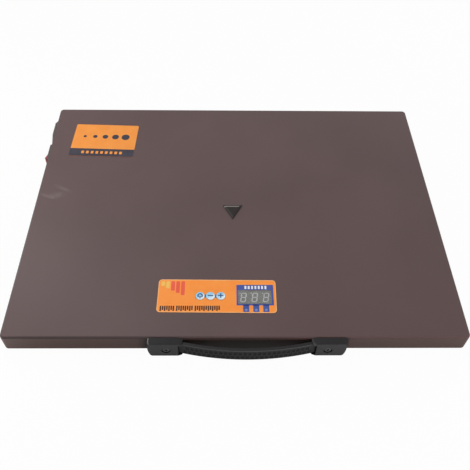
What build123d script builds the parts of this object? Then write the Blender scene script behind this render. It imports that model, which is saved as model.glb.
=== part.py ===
"""Flat heating panel for a chicken coop: folded steel casing, carry strap, keys, display, inlet and switch.

X runs along the handle edge, Y away from the handle, Z up out of the heated face.
The origin is in the middle of the rear face. All sizes are in millimetres.
"""

import os
from math import asin, cos, degrees, radians, sin, tan

from build123d import *

os.makedirs("parts", exist_ok=True)

# Casing
panel_width = 500.0
panel_depth = 375.0
panel_height = 25.0
sheet = 1.0
rear_sheet = 1.0
corner_radius = 5.0
bend_inner_radius = 1.5
base_bend_inner_radius = 0.5
return_flange = 14.0
rear_inset = 2.0
rear_screw_count_x = 5
rear_screw_count_y = 3
rear_screw_radius = 1.5
rear_screw_length = 4.5
screw_clearance = 0.1

# Badge and label on the heated face
badge_width = 24.2
badge_length = 22.4
badge_height = 1.8
badge_bevel = 2.2
badge_bevel_drop = 0.8
badge_x = -2.85
badge_base_y = 0.0
label_width = 86.8
label_length = 63.6
label_corner = 2.0
label_from_left = 71.6
label_from_far = 67.25
label_turn = -2.1
film = 0.3

# Carry handle
handle_x = 11.5
handle_length = 210.6
grip_width = 18.6
grip_thickness = 4.6
grip_entry = 7.5
grip_end_height = 3.05
grip_rise = 9.4
grip_edge_radius = 1.1
grip_rim = 2.6
tread_pitch = 5.0
tread_gap = 1.4
tread_depth = 0.5
tread_end_margin = 6.0
core_width = 14.0
core_thickness = 1.0
core_clearance = 0.1
ease_radius = 40.0
tongue_end_gap = 2.5
cap_length = 37.3
cap_height_out = 8.6
cap_mouth_slant = 1.2
cap_plate_setback = 5.4
cap_taper_length = 6.5
cap_taper_depth = 1.7
cap_wall = 2.55
cap_roof = 2.3
cap_end_wall = 5.0
cap_end_radius = 3.8
cap_edge_radius = 1.8
grip_clearance = 0.35
handle_screw_inset = 19.2
handle_screw_radius = 2.5
handle_screw_head_radius = 4.2
handle_screw_head_height = 2.2
handle_screw_recess_radius = 4.8
handle_screw_recess_depth = 2.8
handle_screw_edge = 0.9
cross_length = 5.0
cross_width = 1.3
cross_depth = 1.3
cap_boss_floor = 0.7
cap_boss_radius = 3.8
cap_boss_rim = 1.5
core_slot_travel = 4.8
handle_nut_width = 8.0
handle_nut_height = 4.0

# Control overlay, keys and display
overlay_width = 131.5
overlay_length = 43.2
overlay_corner = 4.0
overlay_x = -21.1
overlay_from_near = 52.4
overlay_turn = -0.5
key_offset = (-7.25, -0.3)
key_spacing = 0.45
key_radius = 4.9
key_flange_lip = 0.3
key_flange_height = 1.0
key_stand = 0.6
key_crown = 0.5
key_clearance = 0.3
key_travel = 0.4
key_boss_radius = 2.2
key_boss_height = 1.2
plunger_radius = 1.7
plunger_engagement = 0.6
plunger_clearance = 0.3
tact_size = 6.0
tact_height = 3.5
tact_floor_gap = 0.6
display_offset = (42.0, -1.45)
display_width = 37.7
display_length = 19.0
display_height = 8.0
display_recess = 0.1
display_clearance = 0.25
window_border = 0.3
window_clearance = 0.05
digit_count = 3
digit_height = 14.2
digit_width = 7.4
digit_slant = 8.0
digit_offset_y = -0.4
segment_width = 1.5
segment_gap = 0.25
segment_depth = 0.4
dot_radius = 0.8
dot_gap = 1.5
led_radius = 1.5
led_flange_radius = 1.9
led_height = 5.2
led_flange_height = 1.0
led_recess = 0.1
led_pitch = 11.5
led_offset = (0.65, -14.8)
led_leg_width = 0.5
led_leg_pitch = 2.0
led_clearance = 0.2

# Control board and what it carries
board_width = 116.0
board_length = 50.0
board_thickness = 1.6
board_offset = (15.1, 0.0)
board_hole_inset = 4.0
standoff_width = 5.5
board_screw_radius = 1.45
board_screw_head_radius = 2.8
board_screw_head_height = 1.8
board_screw_length = 6.0
standoff_bore_radius = 1.5
block_depth = 10.0
block_height = 9.5
block_pitch = 5.08
block_bore_depth = 6.0
heater_block_offset = -10.0
mains_block_offset = 5.1
relay_size = (19.0, 15.5, 10.5)
relay_place = (14.0, 12.5)
transformer_size = (16.0, 13.0, 9.5)
transformer_core_width = 6.0
transformer_overhang = 1.0
transformer_place = (-32.0, -12.5)
capacitor_radius = 4.0
capacitor_height = 10.5
case_edge = 0.6
capacitor_places = [(-10.0, -13.5), (1.0, -13.5)]
chip_size = (10.0, 7.5, 2.2)
chip_place = (26.0, -13.5)
fuse_radius = 2.6
fuse_length = 20.0
fuse_place = (-36.0, 17.5)
fuse_drop = 5.0
fuse_clip_width = 6.4
fuse_clip_length = 4.0
fuse_clip_inset = 1.0
fuse_clip_grip = 1.6
fuse_clip_mouth = 3.6
fuse_clearance = 0.05
probe_connector_size = (6.0, 7.0, 5.0)

# Heater stack behind the face
wire_lane = 50.0
heater_margin = 18.0
board_to_heater = 26.5
bare_strip = 30.0
heater_board_thickness = 1.0
track_thickness = 0.3
track_width = 9.0
track_passes = 14
track_margin = 10.0
track_tail = 12.0
foil_thickness = 0.2
heater_tab_width = 6.3
heater_tab_thickness = 0.8
heater_tab_lap = 2.0
heater_tab_overhang = 6.0
cutout_x = 90.0
cutout_setback = 15.0
cutout_radius = 8.3
cutout_height = 9.0
cutout_flange_width = 24.0
cutout_flange_length = 17.5
cutout_flange_thickness = 0.8
cutout_flange_corner = 3.0
cutout_tab_pitch = 9.0
cutout_tab_reach = 16.0
probe_offset = (98.0, -3.5)
probe_radius = 2.5
probe_length = 22.0
probe_gap = 0.1
probe_nose = 1.5
clip_sheet = 0.6
clip_width = 8.0
clip_foot = 5.0

# Mains inlet and rocker switch on the left wall
inlet_from_far = 40.5
inlet_flange_lip = 0.8
inlet_flange_end_lip = 2.0
inlet_flange_corner = 5.0
inlet_flange_thickness = 2.8
inlet_ear_radius = 5.0
inlet_wall = 1.4
inlet_floor_thickness = 3.0
inlet_cavity_length = 24.2
inlet_cavity_height = 16.2
inlet_cavity_depth = 17.0
inlet_cavity_corner = 4.5
inlet_screw_offset = 6.5
inlet_screw_radius = 1.5
inlet_screw_head_radius = 2.8
inlet_screw_length = 8.0
inlet_nut_width = 5.5
inlet_nut_height = 2.4
pin_pitch = 14.0
pin_offset = 2.0
pin_thickness = 2.0
pin_height = 4.0
pin_setback = 1.5
pin_tail = 8.0
wall_clearance = 0.2
switch_spacing = 44.5
bezel_lip = 1.3
bezel_thickness = 3.2
bezel_corner = 3.2
bezel_edge = 0.9
switch_body_wall = 1.15
switch_body_depth = 19.0
rocker_radius = 12.9
rocker_width = 10.4
rocker_half_angle = 29.3
rocker_skirt_angle = 12.0
rocker_valley = 5.0
rocker_swing = 20.0
rocker_gap = 0.35
rocker_well = 12.0
pivot_depth = 1.5
pivot_radius = 1.2
pivot_length = 0.5
pivot_clearance = 0.05
switch_tab_pitch = 18.0
switch_tab_width = 6.3
switch_tab_thickness = 0.8
switch_tab_reach = 8.0
earth_from_left = 28.0
earth_from_switch = 42.5
earth_stud_radius = 2.0
earth_stud_length = 10.0
earth_nut_width = 7.0
earth_nut_height = 3.2
earth_lug_thickness = 0.8
earth_lug_radius = 4.5
earth_lug_reach = 13.0
earth_barrel_radius = 1.6
earth_barrel_length = 7.0

# Internal wires
wire_radius = 1.2
wire_clearance = 0.4
wire_bend = 5.0
wire_lead = 2.0
wire_pitch = 6.0
wire_stop_gap = 1.0
probe_wire_lead = 20.0

# Levels and walls that several pieces share
face_z = panel_height
inner_face_z = face_z - sheet
shell_height = panel_height - rear_sheet
wall_mid_z = panel_height / 2
left_wall_x = -panel_width / 2
near_wall_y = -panel_depth / 2
overlay_top_z = face_z + film
display_top_z = face_z - display_recess
board_top_z = display_top_z - display_height
board_under_z = board_top_z - board_thickness
heater_under_z = inner_face_z - heater_board_thickness
track_under_z = heater_under_z - track_thickness
foil_under_z = track_under_z - foil_thickness
label_x = left_wall_x + label_from_left
label_y = panel_depth / 2 - label_from_far
overlay_y = near_wall_y + overlay_from_near
key_x = overlay_x + key_offset[0]
key_y = overlay_y + key_offset[1]
display_x = overlay_x + display_offset[0]
display_y = overlay_y + display_offset[1]
led_x = display_x + led_offset[0]
led_y = display_y + led_offset[1]
board_x = overlay_x + board_offset[0]
board_y = overlay_y + board_offset[1]
board_left = board_x - board_width / 2
board_right = board_x + board_width / 2
board_far = board_y + board_length / 2
heater_left = left_wall_x + wire_lane
heater_right = panel_width / 2 - heater_margin
heater_near = board_far + board_to_heater
heater_far = panel_depth / 2 - heater_margin
insulation_near = heater_near + bare_strip
cutout_y = heater_near + cutout_setback
probe_x = board_right + probe_offset[0]
probe_y = board_y + probe_offset[1]
inlet_y = panel_depth / 2 - inlet_from_far
switch_y = inlet_y - switch_spacing
earth_x = left_wall_x + earth_from_left
earth_y = switch_y - earth_from_switch


def save(builder, label):
    """Label a finished piece and write it under that name."""
    builder.part.label = label
    export_step(builder.part, f"parts/{label}.step")


def spread(count, length):
    """Evenly spaced places along a length, centred on zero, with both ends taken."""
    return [length * (i / (count - 1) - 0.5) for i in range(count)]


# Rear screws sit on the middle of the return flange, all the way round
screw_line_width = panel_width - return_flange
screw_line_depth = panel_depth - return_flange
rear_screw_places = [
    (x, side * screw_line_depth / 2)
    for x in spread(rear_screw_count_x, screw_line_width)
    for side in (-1, 1)
]
rear_screw_places += [
    (side * screw_line_width / 2, y)
    for y in spread(rear_screw_count_y + 2, screw_line_depth)[1:-1]
    for side in (-1, 1)
]
rear_hole_radius = rear_screw_radius + screw_clearance
rear_screw_head_radius = rear_screw_radius + rear_sheet

# Places of keys and lamps
key_hole_radius = key_radius + key_clearance
key_flange_radius = key_hole_radius + key_flange_lip
key_pitch = 2 * key_flange_radius + key_spacing
key_places = [(key_x + i * key_pitch, key_y) for i in (-1, 0, 1)]
led_places = [(led_x + i * led_pitch, led_y) for i in (-1, 0, 1)]

# The rocker's well sets the size of the switch body and its bezel
well_length = 2 * (rocker_radius + rocker_gap)
well_width = rocker_width + 2 * rocker_gap
switch_body_length = well_length + 2 * switch_body_wall
switch_body_height = well_width + 2 * switch_body_wall

# Planes on the walls: local z points out of the casing
left_wall = Plane(origin=(left_wall_x, inlet_y, wall_mid_z), x_dir=(0, -1, 0), z_dir=(-1, 0, 0))
switch_wall = Plane(origin=(left_wall_x, switch_y, wall_mid_z), x_dir=(0, -1, 0), z_dir=(-1, 0, 0))
near_wall = Plane(origin=(handle_x, near_wall_y, wall_mid_z), x_dir=(1, 0, 0), z_dir=(0, -1, 0))
# Side view of the handle: local x along the wall, local y out of it
handle_side = Plane(origin=(handle_x, near_wall_y, wall_mid_z), x_dir=(1, 0, 0), z_dir=(0, 0, -1))
# Side view of the rocker: local x along the wall, local y out of it
rocker_side = Plane(origin=(left_wall_x, switch_y, wall_mid_z), x_dir=(0, 1, 0), z_dir=(0, 0, 1))

handle_half = handle_length / 2
cap_mouth_u = handle_half - cap_length
cap_ceiling = cap_height_out - cap_roof
handle_screw_u = handle_half - handle_screw_inset
handle_screw_places = [(-handle_screw_u, 0), (handle_screw_u, 0)]
inlet_body_length = inlet_cavity_length + 2 * inlet_wall
inlet_body_height = inlet_cavity_height + 2 * inlet_wall
inlet_floor = inlet_flange_thickness - inlet_cavity_depth
inlet_body_depth = inlet_floor_thickness - inlet_floor
inlet_screw_pitch = inlet_body_length + 2 * inlet_screw_offset
inlet_screw_places = [(-inlet_screw_pitch / 2, 0), (inlet_screw_pitch / 2, 0)]

# Front shell: the heated face, four walls and a return flange, folded from one sheet
with BuildPart() as shell_cavity:
    with BuildSketch(Plane.XY.offset(rear_sheet + sheet)):
        RectangleRounded(panel_width - 2 * sheet, panel_depth - 2 * sheet, corner_radius - sheet)
    extrude(amount=shell_height - 2 * sheet)
    fillet(shell_cavity.edges().group_by(Axis.Z)[-1], bend_inner_radius)
    fillet(shell_cavity.edges().group_by(Axis.Z)[0], base_bend_inner_radius)

with BuildPart() as front_shell:
    with BuildSketch(Plane.XY.offset(rear_sheet)):
        RectangleRounded(panel_width, panel_depth, corner_radius)
    extrude(amount=shell_height)
    fillet(front_shell.edges().group_by(Axis.Z)[-1], bend_inner_radius + sheet)
    fillet(front_shell.edges().group_by(Axis.Z)[0], base_bend_inner_radius + sheet)
    add(shell_cavity.part, mode=Mode.SUBTRACT)
    with BuildSketch(Plane.XY.offset(rear_sheet)):
        RectangleRounded(panel_width - 2 * return_flange, panel_depth - 2 * return_flange, corner_radius)
        with Locations(*rear_screw_places):
            Circle(rear_hole_radius)
    extrude(amount=sheet, mode=Mode.SUBTRACT)
    with BuildSketch(Plane.XY.offset(inner_face_z)):
        with Locations((display_x, display_y)):
            Rectangle(display_width + 2 * display_clearance, display_length + 2 * display_clearance)
        with Locations(*key_places):
            Circle(key_hole_radius)
        with Locations(*led_places):
            Circle(led_radius + led_clearance)
    extrude(amount=sheet, mode=Mode.SUBTRACT)
    with BuildSketch(left_wall):
        Rectangle(inlet_body_length + 2 * wall_clearance, inlet_body_height + 2 * wall_clearance)
        with Locations(*inlet_screw_places):
            Circle(inlet_screw_radius + screw_clearance)
    extrude(amount=-sheet, mode=Mode.SUBTRACT)
    with BuildSketch(switch_wall):
        Rectangle(switch_body_length + 2 * wall_clearance, switch_body_height + 2 * wall_clearance)
    extrude(amount=-sheet, mode=Mode.SUBTRACT)
    with BuildSketch(near_wall):
        with Locations(*handle_screw_places):
            Circle(handle_screw_radius + screw_clearance)
    extrude(amount=-sheet, mode=Mode.SUBTRACT)
    with BuildSketch(Plane.XY.offset(inner_face_z)):
        with Locations((earth_x, earth_y)):
            Circle(earth_stud_radius)
    extrude(amount=-earth_stud_length)
save(front_shell, "front_shell")

# Rear cover: flat sheet with countersunk holes for the screws
with BuildPart() as rear_cover:
    with BuildSketch():
        RectangleRounded(
            panel_width - 2 * rear_inset, panel_depth - 2 * rear_inset, corner_radius - rear_inset
        )
    extrude(amount=rear_sheet)
    with Locations(*[Location((x, y, 0), (180, 0, 0)) for x, y in rear_screw_places]):
        CounterSinkHole(
            rear_hole_radius,
            rear_screw_head_radius + screw_clearance,
            depth=rear_sheet,
            counter_sink_angle=90,
        )
save(rear_cover, "rear_cover")

# Rear screws: countersunk heads as deep as the cover, flush with it
stand = (Align.CENTER, Align.CENTER, Align.MIN)
with BuildPart() as rear_cover_screws:
    with Locations(*rear_screw_places):
        Cone(rear_screw_head_radius, rear_screw_radius, rear_sheet, align=stand)
        Cylinder(rear_screw_radius, rear_screw_length, align=stand)
save(rear_cover_screws, "rear_cover_screws")

# Arrow badge: a raised triangle with bevelled sides, pointing at the handle
with BuildPart() as arrow_badge:
    with BuildSketch(Plane.XY.offset(face_z)):
        with BuildLine():
            Polyline(
                (badge_x - badge_width / 2, badge_base_y),
                (badge_x + badge_width / 2, badge_base_y),
                (badge_x, badge_base_y - badge_length),
                close=True,
            )
        make_face()
    extrude(amount=badge_height)
    chamfer(arrow_badge.edges().group_by(Axis.Z)[-1], badge_bevel_drop, badge_bevel)
save(arrow_badge, "arrow_badge")

# Corner label: a plain film on the face
with BuildPart() as corner_label:
    with BuildSketch(Plane.XY.offset(face_z)):
        with Locations(Location((label_x, label_y), label_turn)):
            RectangleRounded(label_width, label_length, label_corner)
    extrude(amount=film)
save(corner_label, "corner_label")


# Carry handle
# The strap's middle line is one large arc between the caps, then eases flat into each cap
grip_half_span = cap_mouth_u + grip_entry
arc_radius = (grip_half_span**2 + grip_rise**2) / (2 * grip_rise)
arc_half_angle = degrees(asin(grip_half_span / arc_radius))
ease_run = ease_radius * sin(radians(arc_half_angle))
ease_drop = ease_radius * (1 - cos(radians(arc_half_angle)))
tongue_height = grip_end_height - ease_drop
tongue_end = handle_half - cap_end_wall - tongue_end_gap


def strap_face(thickness):
    """Side view of the bowed strap of a given thickness around the middle line."""
    half = thickness / 2
    turn = radians(arc_half_angle)
    left = (-grip_half_span + half * sin(turn), grip_end_height - half * cos(turn))
    right = (grip_half_span + half * sin(turn), grip_end_height + half * cos(turn))
    with BuildSketch() as face:
        with BuildLine():
            low = JernArc(left, (cos(turn), sin(turn)), arc_radius - half, -2 * arc_half_angle)
            end = Line(low @ 1, right)
            top = JernArc(end @ 1, (-cos(turn), sin(turn)), arc_radius + half, 2 * arc_half_angle)
            Line(top @ 1, left)
        make_face()
    return face.sketch


def core_face(thickness):
    """Side view of the steel core: the bowed strap and a flat tongue eased into each end."""
    half = thickness / 2
    angle = arc_half_angle
    flat_end = grip_half_span + ease_run
    with BuildSketch() as face:
        with BuildLine():
            low = Line((-tongue_end, tongue_height - half), (-flat_end, tongue_height - half))
            low = JernArc(low @ 1, (1, 0), ease_radius + half, angle)
            low = JernArc(low @ 1, low % 1, arc_radius - half, -2 * angle)
            low = JernArc(low @ 1, low % 1, ease_radius + half, angle)
            low = Line(low @ 1, (tongue_end, tongue_height - half))
            end = Line(low @ 1, (tongue_end, tongue_height + half))
            top = Line(end @ 1, (flat_end, tongue_height + half))
            top = JernArc(top @ 1, (-1, 0), ease_radius - half, -angle)
            top = JernArc(top @ 1, top % 1, arc_radius + half, 2 * angle)
            top = JernArc(top @ 1, top % 1, ease_radius - half, -angle)
            top = Line(top @ 1, (-tongue_end, tongue_height + half))
            Line(top @ 1, (-tongue_end, tongue_height - half))
        make_face()
    return face.sketch


# Grip: a moulded sleeve with a channel for the core and two staggered rows of tread dimples
tread_field = grip_width - 2 * grip_rim
tread_row = (tread_field - tread_gap) / 2
tread_reach = arc_radius + grip_thickness / 2
tread_angle = degrees(tread_pitch / tread_reach)
tread_count = int(2 * (grip_half_span - tread_end_margin) / tread_pitch)
arc_center_height = grip_end_height + grip_rise - arc_radius

with BuildPart() as handle_grip:
    with BuildSketch(handle_side):
        add(strap_face(grip_thickness))
    extrude(amount=grip_width / 2, both=True)
    long_edges = handle_grip.edges().filter_by(GeomType.CIRCLE)
    fillet(long_edges, grip_edge_radius)
    with BuildSketch(handle_side):
        add(strap_face(core_thickness + 2 * core_clearance))
    extrude(amount=core_width / 2 + core_clearance, both=True, mode=Mode.SUBTRACT)
    for row in (-1, 1):
        for step in spread(tread_count, (tread_count - 1) * tread_angle):
            turn = radians(step + row * tread_angle / 4)
            spot_out = arc_center_height + tread_reach * cos(turn)
            spot = (handle_x + tread_reach * sin(turn), near_wall_y - spot_out, wall_mid_z)
            along = (cos(turn), sin(turn), 0)
            out = (sin(turn), -cos(turn), 0)
            with BuildSketch(Plane(origin=spot, x_dir=along, z_dir=out)):
                with Locations((0, row * (tread_row + tread_gap) / 2)):
                    Rectangle(tread_pitch - tread_gap, tread_row)
            extrude(amount=-tread_depth, mode=Mode.SUBTRACT)
save(handle_grip, "handle_grip")

# Core: spring-steel strip with a slot at each end that slides on the cap's boss
boss_slot_width = 2 * (cap_boss_radius + grip_clearance)
with BuildPart() as handle_core:
    with BuildSketch(handle_side):
        add(core_face(core_thickness))
    extrude(amount=core_width / 2, both=True)
    with BuildSketch(near_wall):
        for side in (-1, 1):
            with Locations((side * (handle_screw_u + core_slot_travel / 2), 0)):
                SlotOverall(boss_slot_width + core_slot_travel, boss_slot_width)
    extrude(amount=cap_height_out, mode=Mode.SUBTRACT)
save(handle_core, "handle_core")

# End caps: moulded shells with a boss for the screw and a screw recess; at the mouth the two side
# walls reach further over the strap than the outer plate, and taper
cap_width = grip_width + 2 * (grip_clearance + cap_wall)
pocket_width = grip_width + 2 * grip_clearance
plate_start = cap_mouth_u + cap_plate_setback
pocket_end = handle_half - cap_end_wall
boss_top = cap_height_out - handle_screw_recess_depth - cap_boss_floor

with BuildPart() as handle_cap_right:
    with BuildSketch(handle_side):
        with BuildLine():
            Polyline(
                (cap_mouth_u, 0),
                (handle_half, 0),
                (handle_half, cap_height_out),
                (cap_mouth_u + cap_mouth_slant, cap_height_out),
                close=True,
            )
        make_face()
    extrude(amount=cap_width / 2, both=True)
    far_edge = handle_cap_right.edges().filter_by(Axis.Z).group_by(Axis.Y)[0].sort_by(Axis.X)[-1]
    fillet(far_edge, cap_end_radius)
    side_faces = handle_cap_right.faces().filter_by(Axis.Z)
    rim_edges = side_faces.edges().filter_by(lambda edge: edge.center().Y < near_wall_y - cap_edge_radius)
    fillet(rim_edges, cap_edge_radius)
    with BuildSketch(near_wall):
        for side in (-1, 1):
            with BuildLine():
                Polyline(
                    (cap_mouth_u, side * (cap_width / 2 - cap_taper_depth)),
                    (cap_mouth_u + cap_taper_length, side * cap_width / 2),
                    (cap_mouth_u, side * cap_width / 2),
                    close=True,
                )
            make_face()
    extrude(amount=cap_height_out, mode=Mode.SUBTRACT)
    with BuildSketch(handle_side):
        with Locations(((cap_mouth_u + pocket_end) / 2, cap_ceiling / 2)):
            Rectangle(pocket_end - cap_mouth_u, cap_ceiling)
        with Locations(((cap_mouth_u + plate_start) / 2, cap_height_out / 2)):
            Rectangle(cap_plate_setback, cap_height_out)
    extrude(amount=pocket_width / 2, both=True, mode=Mode.SUBTRACT)
    with BuildSketch(near_wall):
        with Locations(handle_screw_places[1]):
            Circle(cap_boss_radius)
    extrude(amount=boss_top)
    with BuildSketch(near_wall.offset(boss_top)):
        with Locations(handle_screw_places[1]):
            Circle(handle_screw_recess_radius + cap_boss_rim)
    extrude(amount=cap_ceiling - boss_top)
    with BuildSketch(near_wall):
        with Locations(handle_screw_places[1]):
            Circle(handle_screw_radius + screw_clearance)
    extrude(amount=cap_height_out, mode=Mode.SUBTRACT)
    with BuildSketch(near_wall.offset(cap_height_out - handle_screw_recess_depth)):
        with Locations(handle_screw_places[1]):
            Circle(handle_screw_recess_radius)
    extrude(amount=handle_screw_recess_depth, mode=Mode.SUBTRACT)
save(handle_cap_right, "handle_cap_right")

with BuildPart() as handle_cap_left:
    mirror(handle_cap_right.part, about=Plane(origin=(handle_x, 0, 0), z_dir=(1, 0, 0)))
save(handle_cap_left, "handle_cap_left")

# Handle screws: pan heads with a cross recess, through cap and wall into a nut inside
head_seat = cap_height_out - handle_screw_recess_depth
screw_reach = head_seat + sheet + handle_nut_height
with BuildPart() as handle_screws:
    with BuildSketch(near_wall.offset(head_seat)):
        with Locations(*handle_screw_places):
            Circle(handle_screw_head_radius)
    extrude(amount=handle_screw_head_height)
    fillet(handle_screws.edges().group_by(Axis.Y)[0], handle_screw_edge)
    with BuildSketch(near_wall.offset(head_seat)):
        with Locations(*handle_screw_places):
            Circle(handle_screw_radius)
    extrude(amount=-screw_reach)
    with BuildSketch(near_wall.offset(head_seat + handle_screw_head_height)):
        with Locations(*handle_screw_places):
            Rectangle(cross_length, cross_width)
            Rectangle(cross_width, cross_length)
    extrude(amount=-cross_depth, mode=Mode.SUBTRACT)
save(handle_screws, "handle_screws")

with BuildPart() as handle_nuts:
    with BuildSketch(near_wall.offset(-sheet)):
        with Locations(*handle_screw_places):
            RegularPolygon(handle_nut_width / 2, 6, major_radius=False)
            Circle(handle_screw_radius + screw_clearance, mode=Mode.SUBTRACT)
    extrude(amount=-handle_nut_height)
save(handle_nuts, "handle_nuts")

# Control overlay: film stuck on a little askew, with openings for the keys and the window
window_width = display_width - 2 * window_border
window_length = display_length - 2 * window_border
with BuildPart() as control_overlay:
    with BuildSketch(Plane.XY.offset(face_z)):
        with Locations(Location((overlay_x, overlay_y), overlay_turn)):
            RectangleRounded(overlay_width, overlay_length, overlay_corner)
        with Locations(*key_places):
            Circle(key_hole_radius, mode=Mode.SUBTRACT)
        with Locations((display_x, display_y)):
            Rectangle(window_width, window_length, mode=Mode.SUBTRACT)
    extrude(amount=film)
save(control_overlay, "control_overlay")

with BuildPart() as display_window:
    with BuildSketch(Plane.XY.offset(face_z)):
        with Locations((display_x, display_y)):
            Rectangle(window_width - 2 * window_clearance, window_length - 2 * window_clearance)
    extrude(amount=film)
save(display_window, "display_window")

# Display: three slanted seven-bar digits, read from the far side of the panel
lean = tan(radians(digit_slant))
bar_length = digit_width - segment_width - segment_gap
half_length = (digit_height - segment_width) / 2 - segment_gap
bar_rows = (digit_height - segment_width) / 2
bar_columns = (digit_width - segment_width) / 2
bars = [(0, row, False) for row in (-bar_rows, 0, bar_rows)]
bars += [(col, row, True) for col in (-bar_columns, bar_columns) for row in (-bar_rows / 2, bar_rows / 2)]
digit_pitch = display_width / digit_count
dot_reach = digit_width / 2 + dot_gap - lean * bar_rows
digit_places = [
    (display_x + (i - (digit_count - 1) / 2) * digit_pitch, display_y + digit_offset_y)
    for i in range(digit_count)
]


def bar_outline(place, bar):
    """Six points of one slanted bar of a digit."""
    col, row, upright = bar
    length = half_length if upright else bar_length
    half, wide = length / 2, segment_width / 2
    points = [(-half, 0), (wide - half, wide), (half - wide, wide), (half, 0)]
    points += [(half - wide, -wide), (wide - half, -wide)]
    if upright:
        points = [(v, u) for u, v in points]
    return [(place[0] + col + u + (row + v) * lean, place[1] + row + v) for u, v in points]


def digits_sketch():
    """All bars of all digits and their points."""
    with BuildSketch() as digits:
        for place in digit_places:
            for bar in bars:
                with BuildLine():
                    Polyline(*bar_outline(place, bar), close=True)
                make_face()
        with Locations(*[(x - dot_reach, y + bar_rows) for x, y in digit_places]):
            Circle(dot_radius)
    return digits.sketch


with BuildPart() as display_segments:
    with BuildSketch(Plane.XY.offset(display_top_z - segment_depth)):
        add(digits_sketch())
    extrude(amount=segment_depth)
save(display_segments, "display_segments")

with BuildPart() as display_module:
    with BuildSketch(Plane.XY.offset(board_top_z)):
        with Locations((display_x, display_y)):
            Rectangle(display_width, display_length)
    extrude(amount=display_height)
    with BuildSketch(Plane.XY.offset(display_top_z - segment_depth)):
        add(digits_sketch())
    extrude(amount=segment_depth, mode=Mode.SUBTRACT)
save(display_module, "display_module")

# Indicator lamps behind the tabs of the overlay
led_top_z = face_z - led_recess
led_base_z = led_top_z - led_height
with BuildPart() as indicator_leds:
    for x, y in led_places:
        with BuildSketch(Plane(origin=(x, y, 0), x_dir=(1, 0, 0), z_dir=(0, -1, 0))):
            with BuildLine():
                Polyline(
                    (0, led_base_z),
                    (led_flange_radius, led_base_z),
                    (led_flange_radius, led_base_z + led_flange_height),
                    (led_radius, led_base_z + led_flange_height),
                    (led_radius, led_top_z - led_radius),
                )
                RadiusArc((led_radius, led_top_z - led_radius), (0, led_top_z), -led_radius)
                Line((0, led_top_z), (0, led_base_z))
            make_face()
        revolve(axis=Axis((x, y, 0), (0, 0, 1)))
    with BuildSketch(Plane.XY.offset(board_top_z)):
        for x, y in led_places:
            with Locations((x - led_leg_pitch / 2, y), (x + led_leg_pitch / 2, y)):
                Rectangle(led_leg_width, led_leg_width)
    extrude(amount=led_base_z - board_top_z)
save(indicator_leds, "indicator_leds")

# Keys, their plungers and the switches under them
tact_top_z = board_top_z + tact_height
tact_well = plunger_engagement + key_travel + tact_floor_gap
plunger_base_z = tact_top_z - plunger_engagement
key_flange_z = inner_face_z - key_flange_height
plunger_top_z = key_flange_z - key_boss_height
key_edge_z = overlay_top_z + key_stand
dome_radius = (key_radius**2 + key_crown**2) / (2 * key_crown)


def make_key(place):
    """A domed cap with a flange under the face and a boss that meets the plunger."""
    x, y = place
    with BuildPart() as key:
        with BuildSketch(Plane(origin=(x, y, 0), x_dir=(1, 0, 0), z_dir=(0, -1, 0))):
            with BuildLine():
                Polyline(
                    (0, plunger_top_z),
                    (key_boss_radius, plunger_top_z),
                    (key_boss_radius, key_flange_z),
                    (key_flange_radius, key_flange_z),
                    (key_flange_radius, inner_face_z),
                    (key_radius, inner_face_z),
                    (key_radius, key_edge_z),
                )
                RadiusArc((key_radius, key_edge_z), (0, key_edge_z + key_crown), -dome_radius)
                Line((0, key_edge_z + key_crown), (0, plunger_top_z))
            make_face()
        revolve(axis=Axis((x, y, 0), (0, 0, 1)))
    return key


def make_plunger(place):
    """The moving pin of one switch, under its key."""
    with BuildPart() as plunger:
        with BuildSketch(Plane.XY.offset(plunger_base_z)):
            with Locations(place):
                Circle(plunger_radius)
        extrude(amount=plunger_top_z - plunger_base_z)
    return plunger


for key_name, key_place in zip(("power", "minus", "plus"), key_places):
    save(make_key(key_place), f"button_{key_name}")
    save(make_plunger(key_place), f"plunger_{key_name}")

with BuildPart() as tact_switches:
    with BuildSketch(Plane.XY.offset(board_top_z)):
        with Locations(*key_places):
            Rectangle(tact_size, tact_size)
    extrude(amount=tact_height)
    with BuildSketch(Plane.XY.offset(tact_top_z - tact_well)):
        with Locations(*key_places):
            Circle(plunger_radius + plunger_clearance)
    extrude(amount=tact_well, mode=Mode.SUBTRACT)
save(tact_switches, "tact_switches")

# Control board, hung from the face on hexagonal standoffs
hole_span_x = board_width - 2 * board_hole_inset
hole_span_y = board_length - 2 * board_hole_inset
board_holes = [
    (board_x + i * hole_span_x / 2, board_y + j * hole_span_y / 2) for i in (-1, 1) for j in (-1, 1)
]
with BuildPart() as control_board:
    with BuildSketch(Plane.XY.offset(board_under_z)):
        with Locations((board_x, board_y)):
            Rectangle(board_width, board_length)
        with Locations(*board_holes):
            Circle(standoff_bore_radius + screw_clearance, mode=Mode.SUBTRACT)
    extrude(amount=board_thickness)
save(control_board, "control_board")

with BuildPart() as board_standoffs:
    with BuildSketch(Plane.XY.offset(board_top_z)):
        with Locations(*board_holes):
            RegularPolygon(standoff_width / 2, 6, major_radius=False)
            Circle(standoff_bore_radius, mode=Mode.SUBTRACT)
    extrude(amount=inner_face_z - board_top_z)
save(board_standoffs, "board_standoffs")

with BuildPart() as board_screws:
    with BuildSketch(Plane.XY.offset(board_under_z)):
        with Locations(*board_holes):
            Circle(board_screw_head_radius)
    extrude(amount=-board_screw_head_height)
    with BuildSketch(Plane.XY.offset(board_under_z)):
        with Locations(*board_holes):
            Circle(board_screw_radius)
    extrude(amount=board_screw_length)
save(board_screws, "board_screws")


hang = (Align.CENTER, Align.CENTER, Align.MAX)


def under_board(place):
    """A place on the underside of the board, given from the board's middle."""
    return (board_x + place[0], board_y + place[1], board_under_z)


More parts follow.
